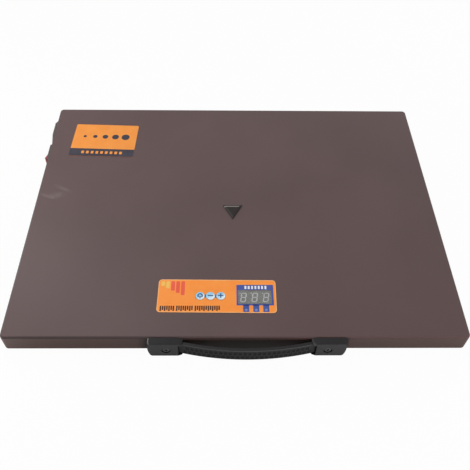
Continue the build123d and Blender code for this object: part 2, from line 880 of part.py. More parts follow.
with BuildPart() as power_relay:
    with Locations(under_board(relay_place)):
        Box(*relay_size, align=hang)
    fillet(power_relay.edges().group_by(Axis.Z)[0], case_edge)
save(power_relay, "power_relay")

with BuildPart() as transformer:
    with Locations(under_board(transformer_place)):
        Box(*transformer_size, align=hang)
        core_length = transformer_size[1] + 2 * transformer_overhang
        Box(transformer_core_width, core_length, transformer_size[2] + transformer_overhang, align=hang)
save(transformer, "transformer")

with BuildPart() as capacitors:
    with Locations(*[under_board(place) for place in capacitor_places]):
        Cylinder(capacitor_radius, capacitor_height, align=hang)
    fillet(capacitors.edges().group_by(Axis.Z)[0], case_edge)
save(capacitors, "capacitors")

with BuildPart() as controller_chip:
    with Locations(under_board(chip_place)):
        Box(*chip_size, align=hang)
save(controller_chip, "controller_chip")

# Fuse in two open clips
fuse_middle = Vector(*under_board(fuse_place)) - Vector(0, 0, fuse_drop)
with BuildPart() as fuse:
    with BuildSketch(Plane(origin=fuse_middle, x_dir=(0, 1, 0), z_dir=(1, 0, 0))):
        Circle(fuse_radius)
    extrude(amount=fuse_length / 2, both=True)
save(fuse, "fuse")

clip_reach = fuse_length / 2 - fuse_clip_inset - fuse_clip_length / 2
with BuildPart() as fuse_clips:
    clip_places = [(fuse_place[0] + side * clip_reach, fuse_place[1]) for side in (-1, 1)]
    with Locations(*[under_board(place) for place in clip_places]):
        Box(fuse_clip_length, fuse_clip_width, fuse_drop + fuse_clip_grip, align=hang)
    with BuildSketch(Plane(origin=fuse_middle, x_dir=(0, 1, 0), z_dir=(1, 0, 0))):
        Circle(fuse_radius + fuse_clearance)
        with Locations((0, -fuse_radius)):
            Rectangle(fuse_clip_mouth, 2 * fuse_radius)
    extrude(amount=fuse_length / 2, both=True, mode=Mode.SUBTRACT)
save(fuse_clips, "fuse_clips")

# Terminal blocks with a bore for each wire
block_bore_z = board_under_z - block_height / 2
mains_ways = [board_y + mains_block_offset + i * block_pitch / 2 for i in (1, -1)]
heater_ways = [board_x + heater_block_offset + i * block_pitch for i in (-1, 1)]
with BuildPart() as mains_terminal_block:
    with Locations(under_board((block_depth / 2 - board_width / 2, mains_block_offset))):
        Box(block_depth, 2 * block_pitch, block_height, align=hang)
    for y in mains_ways:
        with BuildSketch(Plane(origin=(board_left, y, block_bore_z), x_dir=(0, 1, 0), z_dir=(1, 0, 0))):
            Circle(wire_radius + wire_clearance)
        extrude(amount=block_bore_depth, mode=Mode.SUBTRACT)
save(mains_terminal_block, "mains_terminal_block")

with BuildPart() as heater_terminal_block:
    with Locations(under_board((heater_block_offset, board_length / 2 - block_depth / 2))):
        Box(4 * block_pitch, block_depth, block_height, align=hang)
    for x in heater_ways:
        with BuildSketch(Plane(origin=(x, board_far, block_bore_z), x_dir=(1, 0, 0), z_dir=(0, -1, 0))):
            Circle(wire_radius + wire_clearance)
        extrude(amount=block_bore_depth, mode=Mode.SUBTRACT)
save(heater_terminal_block, "heater_terminal_block")

with BuildPart() as probe_connector:
    with Locations(under_board((board_width / 2 - probe_connector_size[0] / 2, 0))):
        Box(*probe_connector_size, align=hang)
save(probe_connector, "probe_connector")

# Heater stack: board against the face, printed track, foil and insulation down to the rear cover
heater_mid_x = (heater_left + heater_right) / 2
with BuildPart() as heating_board:
    with BuildSketch(Plane.XY.offset(heater_under_z)):
        with Locations((heater_mid_x, (heater_near + heater_far) / 2)):
            Rectangle(heater_right - heater_left, heater_far - heater_near)
    extrude(amount=heater_board_thickness)
save(heating_board, "heating_board")

track_span = heater_right - heater_left - 2 * track_margin - track_width
track_near = insulation_near + track_margin
track_far = heater_far - track_margin
track_columns = [heater_mid_x + x for x in spread(track_passes, track_span)]
track_step = track_span / (track_passes - 1)
track_tails = (track_columns[0], track_columns[-1])
with BuildPart() as heating_track:
    with BuildSketch(Plane.XY.offset(track_under_z)):
        with Locations(*[(x, (track_near + track_far) / 2) for x in track_columns]):
            Rectangle(track_width, track_far - track_near)
        for i in range(track_passes - 1):
            turn_y = track_far - track_width / 2 if i % 2 == 0 else track_near + track_width / 2
            with Locations((track_columns[i] + track_step / 2, turn_y)):
                Rectangle(track_step + track_width, track_width)
        tail_length = track_near - insulation_near + track_tail
        with Locations(*[(x, track_near - tail_length / 2) for x in track_tails]):
            Rectangle(track_width, tail_length)
    extrude(amount=track_thickness)
save(heating_track, "heating_track")

tab_near = heater_near - heater_tab_overhang
tab_length = heater_tab_overhang + bare_strip - track_tail + heater_tab_lap
with BuildPart() as heater_tabs:
    with BuildSketch(Plane.XY.offset(track_under_z)):
        with Locations(*[(x, tab_near + tab_length / 2) for x in track_tails]):
            Rectangle(heater_tab_width, tab_length)
    extrude(amount=-heater_tab_thickness)
save(heater_tabs, "heater_tabs")

stack_mid = (heater_mid_x, (insulation_near + heater_far) / 2)
with BuildPart() as reflector_foil:
    with BuildSketch(Plane.XY.offset(foil_under_z)):
        with Locations(stack_mid):
            Rectangle(heater_right - heater_left, heater_far - insulation_near)
    extrude(amount=foil_thickness)
save(reflector_foil, "reflector_foil")

with BuildPart() as insulation_board:
    with BuildSketch(Plane.XY.offset(rear_sheet)):
        with Locations(stack_mid):
            Rectangle(heater_right - heater_left, heater_far - insulation_near)
    extrude(amount=foil_under_z - rear_sheet)
save(insulation_board, "insulation_board")

# Thermal cutout on the bare strip of the heating board
cutout_tab_z = heater_under_z - cutout_height
with BuildPart() as thermal_cutout:
    with BuildSketch(Plane.XY.offset(heater_under_z)):
        with Locations((cutout_x, cutout_y)):
            RectangleRounded(cutout_flange_width, cutout_flange_length, cutout_flange_corner)
    extrude(amount=-cutout_flange_thickness)
    with BuildSketch(Plane.XY.offset(heater_under_z)):
        with Locations((cutout_x, cutout_y)):
            Circle(cutout_radius)
    extrude(amount=-cutout_height)
    with BuildSketch(Plane.XY.offset(cutout_tab_z)):
        for side in (-1, 1):
            with Locations((cutout_x + side * cutout_tab_pitch / 2, cutout_y - cutout_tab_reach / 2)):
                Rectangle(heater_tab_width, cutout_tab_reach)
    extrude(amount=heater_tab_thickness)
save(thermal_cutout, "thermal_cutout")

# Temperature probe held to the face by a saddle clip
probe_z = inner_face_z - probe_radius - probe_gap
probe_across = Plane(origin=(probe_x, probe_y, probe_z), x_dir=(0, 1, 0), z_dir=(1, 0, 0))
with BuildPart() as temperature_probe:
    with BuildSketch(probe_across):
        Circle(probe_radius)
    extrude(amount=probe_length / 2, both=True)
    fillet(temperature_probe.edges().group_by(Axis.X)[-1], probe_nose)
save(temperature_probe, "temperature_probe")

clip_inner = probe_radius + probe_gap
clip_outer = clip_inner + clip_sheet
clip_rise = inner_face_z - probe_z
with BuildPart() as probe_clip:
    with BuildSketch(probe_across):
        Circle(clip_outer)
        with Locations((0, clip_rise / 2)):
            Rectangle(2 * clip_outer, clip_rise)
        with Locations((0, clip_rise - clip_sheet / 2)):
            Rectangle(2 * (clip_outer + clip_foot), clip_sheet)
        Circle(clip_inner, mode=Mode.SUBTRACT)
        with Locations((0, clip_rise / 2)):
            Rectangle(2 * clip_inner, clip_rise, mode=Mode.SUBTRACT)
        with Locations((0, clip_rise + clip_outer)):
            Rectangle(4 * clip_outer, 2 * clip_outer, mode=Mode.SUBTRACT)
    extrude(amount=clip_width / 2, both=True)
save(probe_clip, "probe_clip")

# Mains inlet: flanged housing with a socket for the lead's connector
flange_corner_span = inlet_body_length + 2 * (inlet_flange_end_lip - inlet_flange_corner)
flange_corner_rise = inlet_body_height + 2 * (inlet_flange_lip - inlet_flange_corner)
with BuildPart() as mains_inlet:
    with BuildSketch(left_wall):
        with GridLocations(flange_corner_span, flange_corner_rise, 2, 2):
            Circle(inlet_flange_corner)
        with Locations(*inlet_screw_places):
            Circle(inlet_ear_radius)
        make_hull()
    extrude(amount=inlet_flange_thickness)
    with BuildSketch(left_wall):
        Rectangle(inlet_body_length, inlet_body_height)
    extrude(amount=-inlet_body_depth)
    with BuildSketch(left_wall.offset(inlet_floor)):
        Rectangle(inlet_cavity_length, inlet_cavity_height)
        corner_x, corner_z = inlet_cavity_length / 2, inlet_cavity_height / 2
        for side in (-1, 1):
            with BuildLine():
                Polyline(
                    (side * corner_x, corner_z),
                    (side * (corner_x - inlet_cavity_corner), corner_z),
                    (side * corner_x, corner_z - inlet_cavity_corner),
                    close=True,
                )
            make_face(mode=Mode.SUBTRACT)
    extrude(amount=inlet_cavity_depth, mode=Mode.SUBTRACT)
    pin_places = [(-pin_pitch / 2, -pin_offset), (0, pin_offset), (pin_pitch / 2, -pin_offset)]
    with BuildSketch(left_wall.offset(inlet_floor)):
        with Locations(*pin_places):
            Rectangle(pin_thickness, pin_height)
    extrude(amount=-inlet_body_depth, mode=Mode.SUBTRACT)
    with Locations(left_wall.offset(inlet_flange_thickness)):
        with Locations(*inlet_screw_places):
            CounterSinkHole(
                inlet_screw_radius + screw_clearance,
                inlet_screw_head_radius + screw_clearance,
                depth=inlet_flange_thickness,
                counter_sink_angle=90,
            )
save(mains_inlet, "mains_inlet")

with BuildPart() as inlet_pins:
    with BuildSketch(left_wall.offset(-inlet_body_depth - pin_tail)):
        with Locations(*pin_places):
            Rectangle(pin_thickness, pin_height)
    extrude(amount=inlet_body_depth + pin_tail + inlet_flange_thickness - pin_setback)
save(inlet_pins, "inlet_pins")

inlet_head = inlet_screw_head_radius - inlet_screw_radius
with BuildPart() as inlet_screws:
    for place in inlet_screw_places:
        with BuildSketch(left_wall.offset(inlet_flange_thickness)):
            with Locations(place):
                Circle(inlet_screw_head_radius)
        with BuildSketch(left_wall.offset(inlet_flange_thickness - inlet_head)):
            with Locations(place):
                Circle(inlet_screw_radius)
        loft()
    with BuildSketch(left_wall.offset(inlet_flange_thickness - inlet_head)):
        with Locations(*inlet_screw_places):
            Circle(inlet_screw_radius)
    extrude(amount=inlet_head - inlet_screw_length)
save(inlet_screws, "inlet_screws")

with BuildPart() as inlet_nuts:
    with BuildSketch(left_wall.offset(-sheet)):
        with Locations(*inlet_screw_places):
            RegularPolygon(inlet_nut_width / 2, 6, major_radius=False)
            Circle(inlet_screw_radius + screw_clearance, mode=Mode.SUBTRACT)
    extrude(amount=-inlet_nut_height)
save(inlet_nuts, "inlet_nuts")

# Rocker switch: bezel and body in one moulding, with a well for the rocker
with BuildPart() as rocker_housing:
    with BuildSketch(switch_wall):
        RectangleRounded(
            switch_body_length + 2 * bezel_lip, switch_body_height + 2 * bezel_lip, bezel_corner
        )
    extrude(amount=bezel_thickness)
    fillet(rocker_housing.edges().group_by(Axis.X)[0], bezel_edge)
    with BuildSketch(switch_wall):
        Rectangle(switch_body_length, switch_body_height)
    extrude(amount=-switch_body_depth)
    with BuildSketch(switch_wall.offset(bezel_thickness)):
        Rectangle(well_length, well_width)
    extrude(amount=-rocker_well - bezel_thickness, mode=Mode.SUBTRACT)
    with BuildSketch(rocker_side):
        with Locations((0, -pivot_depth)):
            Circle(pivot_radius + pivot_clearance)
    extrude(amount=well_width / 2 + pivot_length + pivot_clearance, both=True, mode=Mode.SUBTRACT)
    with BuildSketch(switch_wall.offset(-switch_body_depth)):
        with Locations((-switch_tab_pitch / 2, 0), (switch_tab_pitch / 2, 0)):
            Rectangle(switch_tab_thickness, switch_tab_width)
    extrude(amount=switch_body_depth - rocker_well, mode=Mode.SUBTRACT)
save(rocker_housing, "rocker_housing")


def on_rocker(angle, radius=rocker_radius):
    """A point of the rocker's side view, by its angle up from the wall, before it tips."""
    return (radius * cos(radians(angle)), radius * sin(radians(angle)))


# Rocker: ends are arcs about its pivot, the top is a shallow valley, tipped with the near end out
with BuildPart() as power_rocker:
    lean_angle = radians(rocker_swing / 2)
    tipped = Plane(
        origin=(left_wall_x + pivot_depth, switch_y, wall_mid_z),
        x_dir=(sin(lean_angle), cos(lean_angle), 0),
        z_dir=(0, 0, 1),
    )
    with BuildSketch(tipped):
        with BuildLine():
            near_top = on_rocker(180 - rocker_half_angle)
            far_top = on_rocker(rocker_half_angle)
            near_low = on_rocker(180 + rocker_skirt_angle)
            far_low = on_rocker(-rocker_skirt_angle)
            ThreePointArc(near_low, on_rocker(180 - rocker_half_angle / 2), near_top)
            ThreePointArc(near_top, (0, rocker_valley), far_top)
            ThreePointArc(far_top, on_rocker(rocker_half_angle / 2), far_low)
            Line(far_low, near_low)
        make_face()
    extrude(amount=rocker_width / 2, both=True)
    with BuildSketch(tipped):
        Circle(pivot_radius)
    extrude(amount=rocker_width / 2 + rocker_gap + pivot_length, both=True)
save(power_rocker, "power_rocker")

with BuildPart() as rocker_terminals:
    with BuildSketch(switch_wall.offset(-rocker_well)):
        with Locations((-switch_tab_pitch / 2, 0), (switch_tab_pitch / 2, 0)):
            Rectangle(switch_tab_thickness, switch_tab_width)
    extrude(amount=rocker_well - switch_body_depth - switch_tab_reach)
save(rocker_terminals, "rocker_terminals")

# Lug of the earth wire and its nut, on the stud that is welded under the face
barrel_z = inner_face_z - earth_barrel_radius - screw_clearance
with BuildPart() as earth_lug:
    with BuildSketch(Plane.XY.offset(inner_face_z)):
        with Locations((earth_x, earth_y)):
            Circle(earth_lug_radius)
        with Locations((earth_x, earth_y + earth_lug_reach / 2 - earth_barrel_length / 2)):
            Rectangle(2 * earth_barrel_radius, earth_lug_reach - earth_barrel_length)
        with Locations((earth_x, earth_y)):
            Circle(earth_stud_radius + screw_clearance, mode=Mode.SUBTRACT)
    extrude(amount=-earth_lug_thickness)
    barrel_end = (earth_x, earth_y + earth_lug_reach, barrel_z)
    with BuildSketch(Plane(origin=barrel_end, x_dir=(1, 0, 0), z_dir=(0, -1, 0))):
        Circle(earth_barrel_radius)
    extrude(amount=earth_barrel_length)
save(earth_lug, "earth_lug")

with BuildPart() as earth_nut:
    with BuildSketch(Plane.XY.offset(inner_face_z - earth_lug_thickness)):
        with Locations((earth_x, earth_y)):
            RegularPolygon(earth_nut_width / 2, 6, major_radius=False)
            Circle(earth_stud_radius + screw_clearance, mode=Mode.SUBTRACT)
    extrude(amount=-earth_nut_height)
save(earth_nut, "earth_nut")


def make_wire(label, points):
    """A round wire along straight runs with rounded corners, from one terminal to another."""
    with BuildPart() as wire:
        with BuildLine() as route:
            FilletPolyline(*points, radius=wire_bend)
        with BuildSketch(Plane(origin=route.line @ 0, z_dir=route.line % 0)):
            Circle(wire_radius)
        sweep()
    save(wire, label)


# Wires run down a lane beside the left wall and along the near edge to the control board
pin_end_x = left_wall_x + inlet_body_depth + pin_tail
tab_end_x = left_wall_x + switch_body_depth + switch_tab_reach
live_lane_x = tab_end_x + wire_bend + wire_lead
neutral_lane_x = live_lane_x + wire_pitch
live_pin_y = inlet_y - pin_pitch / 2
neutral_pin_y = inlet_y + pin_pitch / 2
line_pin_z = wall_mid_z - pin_offset
earth_pin_z = wall_mid_z + pin_offset
switch_far_y = switch_y + switch_tab_pitch / 2
switch_near_y = switch_y - switch_tab_pitch / 2
wire_stop = block_bore_depth - wire_stop_gap
heater_lane_y = (board_far + tab_near) / 2
tab_wire_z = track_under_z - heater_tab_thickness / 2
cutout_tab_end_y = cutout_y - cutout_tab_reach
cutout_wire_z = cutout_tab_z + heater_tab_thickness / 2
earth_bend_y = earth_y + earth_lug_reach + wire_bend + wire_lead

make_wire(
    "live_wire",
    [
        (pin_end_x, live_pin_y, line_pin_z),
        (live_lane_x, live_pin_y, line_pin_z),
        (live_lane_x, switch_far_y, wall_mid_z),
        (tab_end_x, switch_far_y, wall_mid_z),
    ],
)
make_wire(
    "switched_live_wire",
    [
        (tab_end_x, switch_near_y, wall_mid_z),
        (live_lane_x, switch_near_y, wall_mid_z),
        (live_lane_x, mains_ways[1], block_bore_z),
        (board_left + wire_stop, mains_ways[1], block_bore_z),
    ],
)
make_wire(
    "neutral_wire",
    [
        (pin_end_x, neutral_pin_y, line_pin_z),
        (neutral_lane_x, neutral_pin_y, line_pin_z),
        (neutral_lane_x, mains_ways[0], block_bore_z),
        (board_left + wire_stop, mains_ways[0], block_bore_z),
    ],
)
make_wire(
    "earth_wire",
    [
        (pin_end_x, inlet_y, earth_pin_z),
        (neutral_lane_x, inlet_y, earth_pin_z),
        (neutral_lane_x, earth_bend_y + 2 * wire_bend, barrel_z),
        (earth_x, earth_bend_y, barrel_z),
        (earth_x, earth_y + earth_lug_reach, barrel_z),
    ],
)
make_wire(
    "heater_wire_left",
    [
        (heater_ways[0], board_far - wire_stop, block_bore_z),
        (heater_ways[0], heater_lane_y, block_bore_z),
        (track_tails[0], heater_lane_y, tab_wire_z),
        (track_tails[0], tab_near, tab_wire_z),
    ],
)
cutout_left_x = cutout_x - cutout_tab_pitch / 2
cutout_right_x = cutout_x + cutout_tab_pitch / 2
make_wire(
    "cutout_wire",
    [
        (heater_ways[1], board_far - wire_stop, block_bore_z),
        (heater_ways[1], heater_lane_y, block_bore_z),
        (cutout_left_x, heater_lane_y, cutout_wire_z),
        (cutout_left_x, cutout_tab_end_y, cutout_wire_z),
    ],
)
make_wire(
    "heater_wire_right",
    [
        (cutout_right_x, cutout_tab_end_y, cutout_wire_z),
        (cutout_right_x, heater_lane_y, cutout_wire_z),
        (track_tails[1], heater_lane_y, tab_wire_z),
        (track_tails[1], tab_near, tab_wire_z),
    ],
)
connector_z = board_under_z - probe_connector_size[2] / 2
probe_end_x = probe_x - probe_length / 2
make_wire(
    "probe_wire",
    [
        (board_right, board_y, connector_z),
        (board_right + probe_wire_lead, board_y, connector_z),
        (probe_end_x - probe_wire_lead, probe_y, probe_z),
        (probe_end_x, probe_y, probe_z),
    ],
)
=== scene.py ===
from math import asin, atan2, cos, floor, hypot, pi, radians, sin

import bmesh
import bpy
from mathutils import Matrix, Vector


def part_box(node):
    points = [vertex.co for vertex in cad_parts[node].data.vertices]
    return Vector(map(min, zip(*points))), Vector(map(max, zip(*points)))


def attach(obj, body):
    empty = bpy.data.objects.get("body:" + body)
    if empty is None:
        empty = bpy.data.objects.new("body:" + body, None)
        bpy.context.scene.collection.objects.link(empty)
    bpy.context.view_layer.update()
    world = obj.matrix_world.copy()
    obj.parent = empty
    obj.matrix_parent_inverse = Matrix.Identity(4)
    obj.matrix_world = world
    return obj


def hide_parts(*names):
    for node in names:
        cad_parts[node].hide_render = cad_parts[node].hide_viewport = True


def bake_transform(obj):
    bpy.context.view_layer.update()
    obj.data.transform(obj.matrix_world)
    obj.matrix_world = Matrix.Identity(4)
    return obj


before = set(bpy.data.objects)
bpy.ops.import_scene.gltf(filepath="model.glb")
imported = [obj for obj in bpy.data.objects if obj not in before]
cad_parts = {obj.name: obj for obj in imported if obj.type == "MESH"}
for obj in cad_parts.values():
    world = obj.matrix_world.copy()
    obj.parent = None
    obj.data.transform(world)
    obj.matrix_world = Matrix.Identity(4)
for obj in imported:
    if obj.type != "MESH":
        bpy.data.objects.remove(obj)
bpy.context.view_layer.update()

MM = 0.001

# Camera, as the photograph was taken
IMAGE_SIDE = 470
FOCAL_PIXELS = 595.2
SENSOR_WIDTH = 36.0
CAMERA_PLACE = Vector((-12.2, -500.9, 579.9)) * MM
CAMERA_PITCH = radians(50.744)
CAMERA_YAW = radians(1.505)
CAMERA_ROLL = radians(-1.271)
CAMERA_NEAR = 0.01

# Room and floor: the room turns from dark to bright between two cosines to its bright side
ROOM_DARK = 0.08
ROOM_BRIGHT = 0.96
ROOM_BRIGHT_SIDE = Vector((0, 0.64, 0.77))
ROOM_TURN = (0.2, 0.6)
FLOOR_SIZE = 8.0
FLOOR_DROP = 0.2 * MM
FLOOR_GLOW = 0.97
FLOOR_MIRROR = 0.08
FLOOR_TONE = 0.55
FLOOR_ROUGHNESS = 0.9

# Lamps: name, then place, aim and size in metres, power in watts, and whether glossy pieces mirror it
LAMPS = (
    ("side_lamp", (-0.5, 0.14, 0.26), (-0.2, 0.14, 0), (0.2, 1.3), 1.9, True),
    ("back_lamp", (0.42, 0.46, 0.25), (0.2, 0.15, 0), (0.3, 0.2), 0.22, False),
    ("front_lamp", (0.42, -0.85, 0.14), (0, -0.2, 0), (0.5, 0.14), 3.0, False),
    ("left_corner_lamp", (-0.34, -0.24, 0.04), (-0.24, -0.19, 0.015), (0.06, 0.04), 0.13, False),
    ("right_corner_lamp", (0.42, -0.3, 0.04), (0.22, -0.19, 0.015), (0.06, 0.04), 0.15, False),
)

# Rubbed streaks on the face: middle, turn in degrees and half axes, in millimetres
FACE_SCUFFS = (
    ((-220, 29, 25), -29, (17, 4.0, 4)),
    ((-236, 15.5, 25), -18, (17, 4.0, 4)),
    ((-226, 17, 25), 12, (14, 7, 4)),
)

# Painted shade on the front wall beside the end caps and behind the strap: its half height and half
# depth, then each patch's half length and how thick it lies, lengths in millimetres
WALL_SHADE_HEIGHT = 30
WALL_SHADE_DEPTH = 4
LEFT_CAP_SHADE = (12, 0.75)
RIGHT_CAP_SHADE = (4, 1.0)
STRAP_SHADE = (60, 0.6)

# Bands of the finishes along an axis: where each starts and where it is full, in millimetres from an edge
# or a face of its piece, and for the bends from the middle of the casing
# These bands place painted shade along the bends, the badge's painted highlight line and its foot in
# painted shade, the strap's painted highlight on its top edge and painted shade on its lower rim, and
# painted shade in the screw cross and in the caps' recesses
BEND_SHADE = (100, -200)
BADGE_HIGHLIGHT_LINE = (-3.65, -3.45)
BADGE_SHADED_FOOT = (-2.5, -2.3)
STRAP_HIGHLIGHT_EDGE = (-1.3, -1.0)
STRAP_SHADED_RIM = (1.9, 1.2)
SCREW_CROSS_SHADE = (0.04, 0.14)
CAP_DEEP_SHADE = (0.5, 1.2)
CAP_SUNK_SHADE = (0.2, 0.4)

# Half axes of the painted shade in the recess around a cap's screw, in millimetres
CAP_RECESS_SHADE = (6.5, 30, 6.5)

# Stripes of the earth wire: half their pitch, and where their soft edge starts and ends, in millimetres
EARTH_STRIPE = 1.5
EARTH_STRIPE_EDGE = (0.6, 0.9)

# Where most of a noise pattern's values lie
NOISE_RANGE = (0.3, 0.7)

# Moulded plastics by slot: material, darker and paler tone, grain and its depth in millimetres, roughness
MOULDED = {
    "display_black": ("display_face", (134, 134, 128), (146, 146, 140), 2.5, 0.004, 0.5),
    "segment_milk": ("segment_milk_glow", (222, 218, 222), (236, 232, 236), 1.2, 0.004, 0.3),
    "lamp_blue": ("lamp_lens", (60, 84, 172), (78, 104, 190), 2.0, 0.004, 0.2),
    "rocker_red": ("rocker_gloss", (150, 40, 46), (166, 52, 56), 0.7, 0.006, 0.3),
    "fitting_grey": ("fitting_matt", (70, 60, 58), (82, 72, 70), 0.5, 0.02, 0.5),
    "component_black": ("component_case", (22, 22, 24), (40, 40, 42), 0.5, 0.02, 0.48),
    "terminal_green": ("terminal_case", (40, 120, 66), (56, 138, 80), 0.6, 0.015, 0.42),
}

# Metals by slot: material, darker and paler tone, roughness, squeeze of the grain along each axis
METALS = {
    "steel": ("zinc_plate", (186, 188, 192), (214, 215, 218), 0.34, (1, 1, 1)),
    "spring_steel": ("blued_strip", (120, 124, 134), (156, 160, 168), 0.36, (0.1, 1, 1)),
    "contact_brass": ("plated_brass", (206, 178, 112), (226, 202, 142), 0.3, (1, 1, 1)),
    "heater_track": ("resistance_foil", (140, 136, 130), (166, 161, 154), 0.4, (0.1, 1, 1)),
}

# Sleeves of the wires by slot: material, darker and paler tone
SLEEVES = {
    "wire_brown": ("brown_sleeve", (110, 66, 42), (128, 80, 54)),
    "wire_blue": ("blue_sleeve", (52, 92, 168), (70, 112, 186)),
    "wire_white": ("white_sleeve", (214, 212, 204), (232, 230, 224)),
}

# Inks of the prints: darker and paler tone, roughness
INKS = {
    "blue_ink": ((59, 78, 152), (69, 90, 164), 0.4),
    "white_ink": ((226, 226, 232), (240, 240, 244), 0.4),
    "spot_ink": ((118, 130, 180), (130, 142, 190), 0.4),
    "dark_ink": ((44, 20, 12), (60, 30, 20), 0.42),
    # Pale ink for the painted highlight along the overlay's cut edge
    "edge_highlight_ink": ((252, 184, 118), (253, 194, 132), 0.4),
    "warm_ink": ((240, 186, 78), (246, 196, 96), 0.4),
    "hot_ink": ((236, 88, 62), (242, 100, 74), 0.4),
    "band_ink": ((46, 44, 56), (56, 54, 66), 0.42),
    "sign_ink": ((46, 78, 126), (58, 92, 140), 0.35),
}

# Modelling: angles, distances in millimetres and counts that hold for all new pieces
SMOOTH_ANGLE = radians(35)
MERGE_DISTANCE = 0.002
CORNER_STEPS = 5
DISC_SIDES = 40

# How far the corners of a fully round plate stop short of meeting, in millimetres
ROUND_SPARE = 0.01

# Carry strap, in millimetres
STRAP_HALF_SPAN = 75.5
STRAP_RISE = 9.4
STRAP_THICKNESS = 4.6
STRAP_EDGE = 1.1
STRAP_EDGE_STEPS = 4
STRAP_RIM = 2.6
STRAP_STEPS = 120
TREAD_STEPS = 6
TREAD_GAP_STEPS = 2
TREAD_ROW_GAP = 1.4
TREAD_SLOPE = 0.3
TREAD_DEPTH = 0.5
TREAD_END_MARGIN = 6.0
TREAD_FACE_PLAY = 0.05
CHANNEL_PLAY = 0.1
CORE_WIDTH = 14.0
CORE_THICKNESS = 1.0
CORE_EASE_RADIUS = 40.0
CORE_STEPS = 30
CORE_EASE_STEPS = 10
CORE_SLOT = (13.1, 8.3)
CORE_SLOT_FROM_END = 9.3
SLOT_CUTTER_HEIGHT = 40
SLOT_CUTTER_BEHIND = 10

# Cuts at the mouth of an end cap: a point in millimetres and a direction, each along the strap, out from
# the wall and up
CAP_MOUTH_CUTS = (
    ((0.0, 0.0, 0.0), (-1.0, 0.19, 0.0)),
    ((6.5, 8.6, 1.1), (-0.31, 0.69, -0.6)),
)

# Rounding of an end cap's closed end: the length it takes up, how far its middle stands out and how far
# its lower edge draws back, in millimetres
CAP_END_ZONE = 4.5
CAP_END_BULGE = 1.3
CAP_END_DRAW = 0.9
CAP_END_CUTS = 12

# Prints on the films and digits of the display, in millimetres
INK = 0.03
FRAME_MARGIN = 1.75
FRAME_MARGIN_RIGHT = 2.4
FRAME_GAP = 0.1
HEADER_DEPTH = 7.0
HEADER_CORNER = 0.6
FRAME_FOOT = 1.9
HEADER_MARKS = 7
MARK_SIZE = (2.2, 4.4)
MARK_CORNER = 0.4
MARK_PITCH = 3.75
MARKS_ASIDE = 1.0
DIGIT_COUNT = 3
DIGIT_PITCH = 12.57
DIGIT_SHARE = 0.875
TAB_SIZE = (6.7, 9.4)
TAB_CORNER = 0.5
TAB_PITCH = 11.0
TABS_ASIDE = 0.5
SPOT_RADIUS = 1.5
SPOT_DROP = 2.0
HEAT_OFFSET = (-49.4, 19.6)
HEAT_BARS = 5
HEAT_PITCH = 5.6
HEAT_BAR_WIDTH = 4.2
HEAT_BAR_CORNER = 1.2
HEAT_BAR_LOW = 6.4
HEAT_BAR_RISE = 3.1
SCALE_OFFSET = (-61.6, -12.9)
SCALE_GROUPS = (7, 8, 12)
SCALE_GROUP_GAP = 1.4
SCALE_PITCH = 2.36
TICK_WIDTH = 1.6
TICK_LONG = 6.6
TICK_SHORT = 5.4
OVERLAY_SIZE = (131.5, 43.2)
OVERLAY_TURN = radians(-0.5)
OVERLAY_CORNER = 4.0
# Width of the painted highlight along the overlay's cut edge
OVERLAY_HIGHLIGHT_WIDTH = 0.8
LABEL_SIZE = (86.8, 63.6)
LABEL_TURN = radians(-2.1)
LABEL_CORNER = 2.0
BAND_DEPTH = 14.4
BAND_BARS = 9
BAND_BAR_SIZE = (3.6, 5.0)
BAND_BAR_CORNER = 0.8
BAND_BAR_PITCH = 6.4
DOT_COUNT = 5
DOT_PITCH = 14.0
DOT_SMALLEST = 2.2
DOT_GROWTH = 0.85

# Keys and their signs, in millimetres
KEYS = ("power", "minus", "plus")
KEY_GAP_BAR = (0.9, 4.2)
SIGN_LIFT = 1.0
SIGN_CUTS = 4
SIGN_GAP = 0.01
SIGN_INK = 0.04
SIGN_BAR = (6.0, 1.3)
PLUS_ARM = 2.35
POWER_RING_RADIUS = 3.1
POWER_RING_WIDTH = 1.5
POWER_RING_GAP = radians(34)
POWER_RING_SIDES = 48
POWER_BAR = (1.4, 3.2)
POWER_BAR_ASIDE = 2.0

# Strap, from the frame: places in metres, the arc's radius and the strap's width in millimetres
grip_low, grip_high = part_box("handle_grip")
core_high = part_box("handle_core")[1]
strap_x = (grip_low.x + grip_high.x) / 2
strap_z = (grip_low.z + grip_high.z) / 2
strap_width = (grip_high.z - grip_low.z) / MM
arc_radius = (STRAP_HALF_SPAN**2 + STRAP_RISE**2) / (2 * STRAP_RISE)
arc_half_angle = asin(STRAP_HALF_SPAN / arc_radius)
arc_centre_y = grip_low.y + (arc_radius + STRAP_THICKNESS / 2) * MM
step_angle = arc_half_angle / STRAP_STEPS

# Control overlay and label, from the frame: places in millimetres apart from the boxes
overlay_low, overlay_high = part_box("control_overlay")
window_low, window_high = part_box("display_window")
lamps_low, lamps_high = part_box("indicator_leds")
overlay_top = overlay_high.z / MM
window_x = (window_low.x + window_high.x) / 2 / MM
window_near = window_low.y / MM
window_far = window_high.y / MM
window_half = (window_high.x - window_low.x) / 2 / MM
overlay_x = (overlay_low.x + overlay_high.x) / 2 / MM
overlay_y = (overlay_low.y + overlay_high.y) / 2 / MM
lamp_x = (lamps_low.x + lamps_high.x) / 2 / MM
lamp_y = (lamps_low.y + lamps_high.y) / 2 / MM
label_low, label_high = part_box("corner_label")
label_top = label_high.z / MM


def srgb(red, green, blue):
    """A colour as seen on screen, 0 to 255, turned to the linear values that shaders take."""
    def linear(value):
        share = value / 255
        return share / 12.92 if share <= 0.04045 else ((share + 0.055) / 1.055) ** 2.4
    return (linear(red), linear(green), linear(blue), 1.0)


# Materials in the making

def feed(tree, socket, value):
    """Gives a socket a value, or another node's output."""
    if isinstance(value, bpy.types.NodeSocket):
        tree.links.new(value, socket)
    else:
        socket.default_value = value


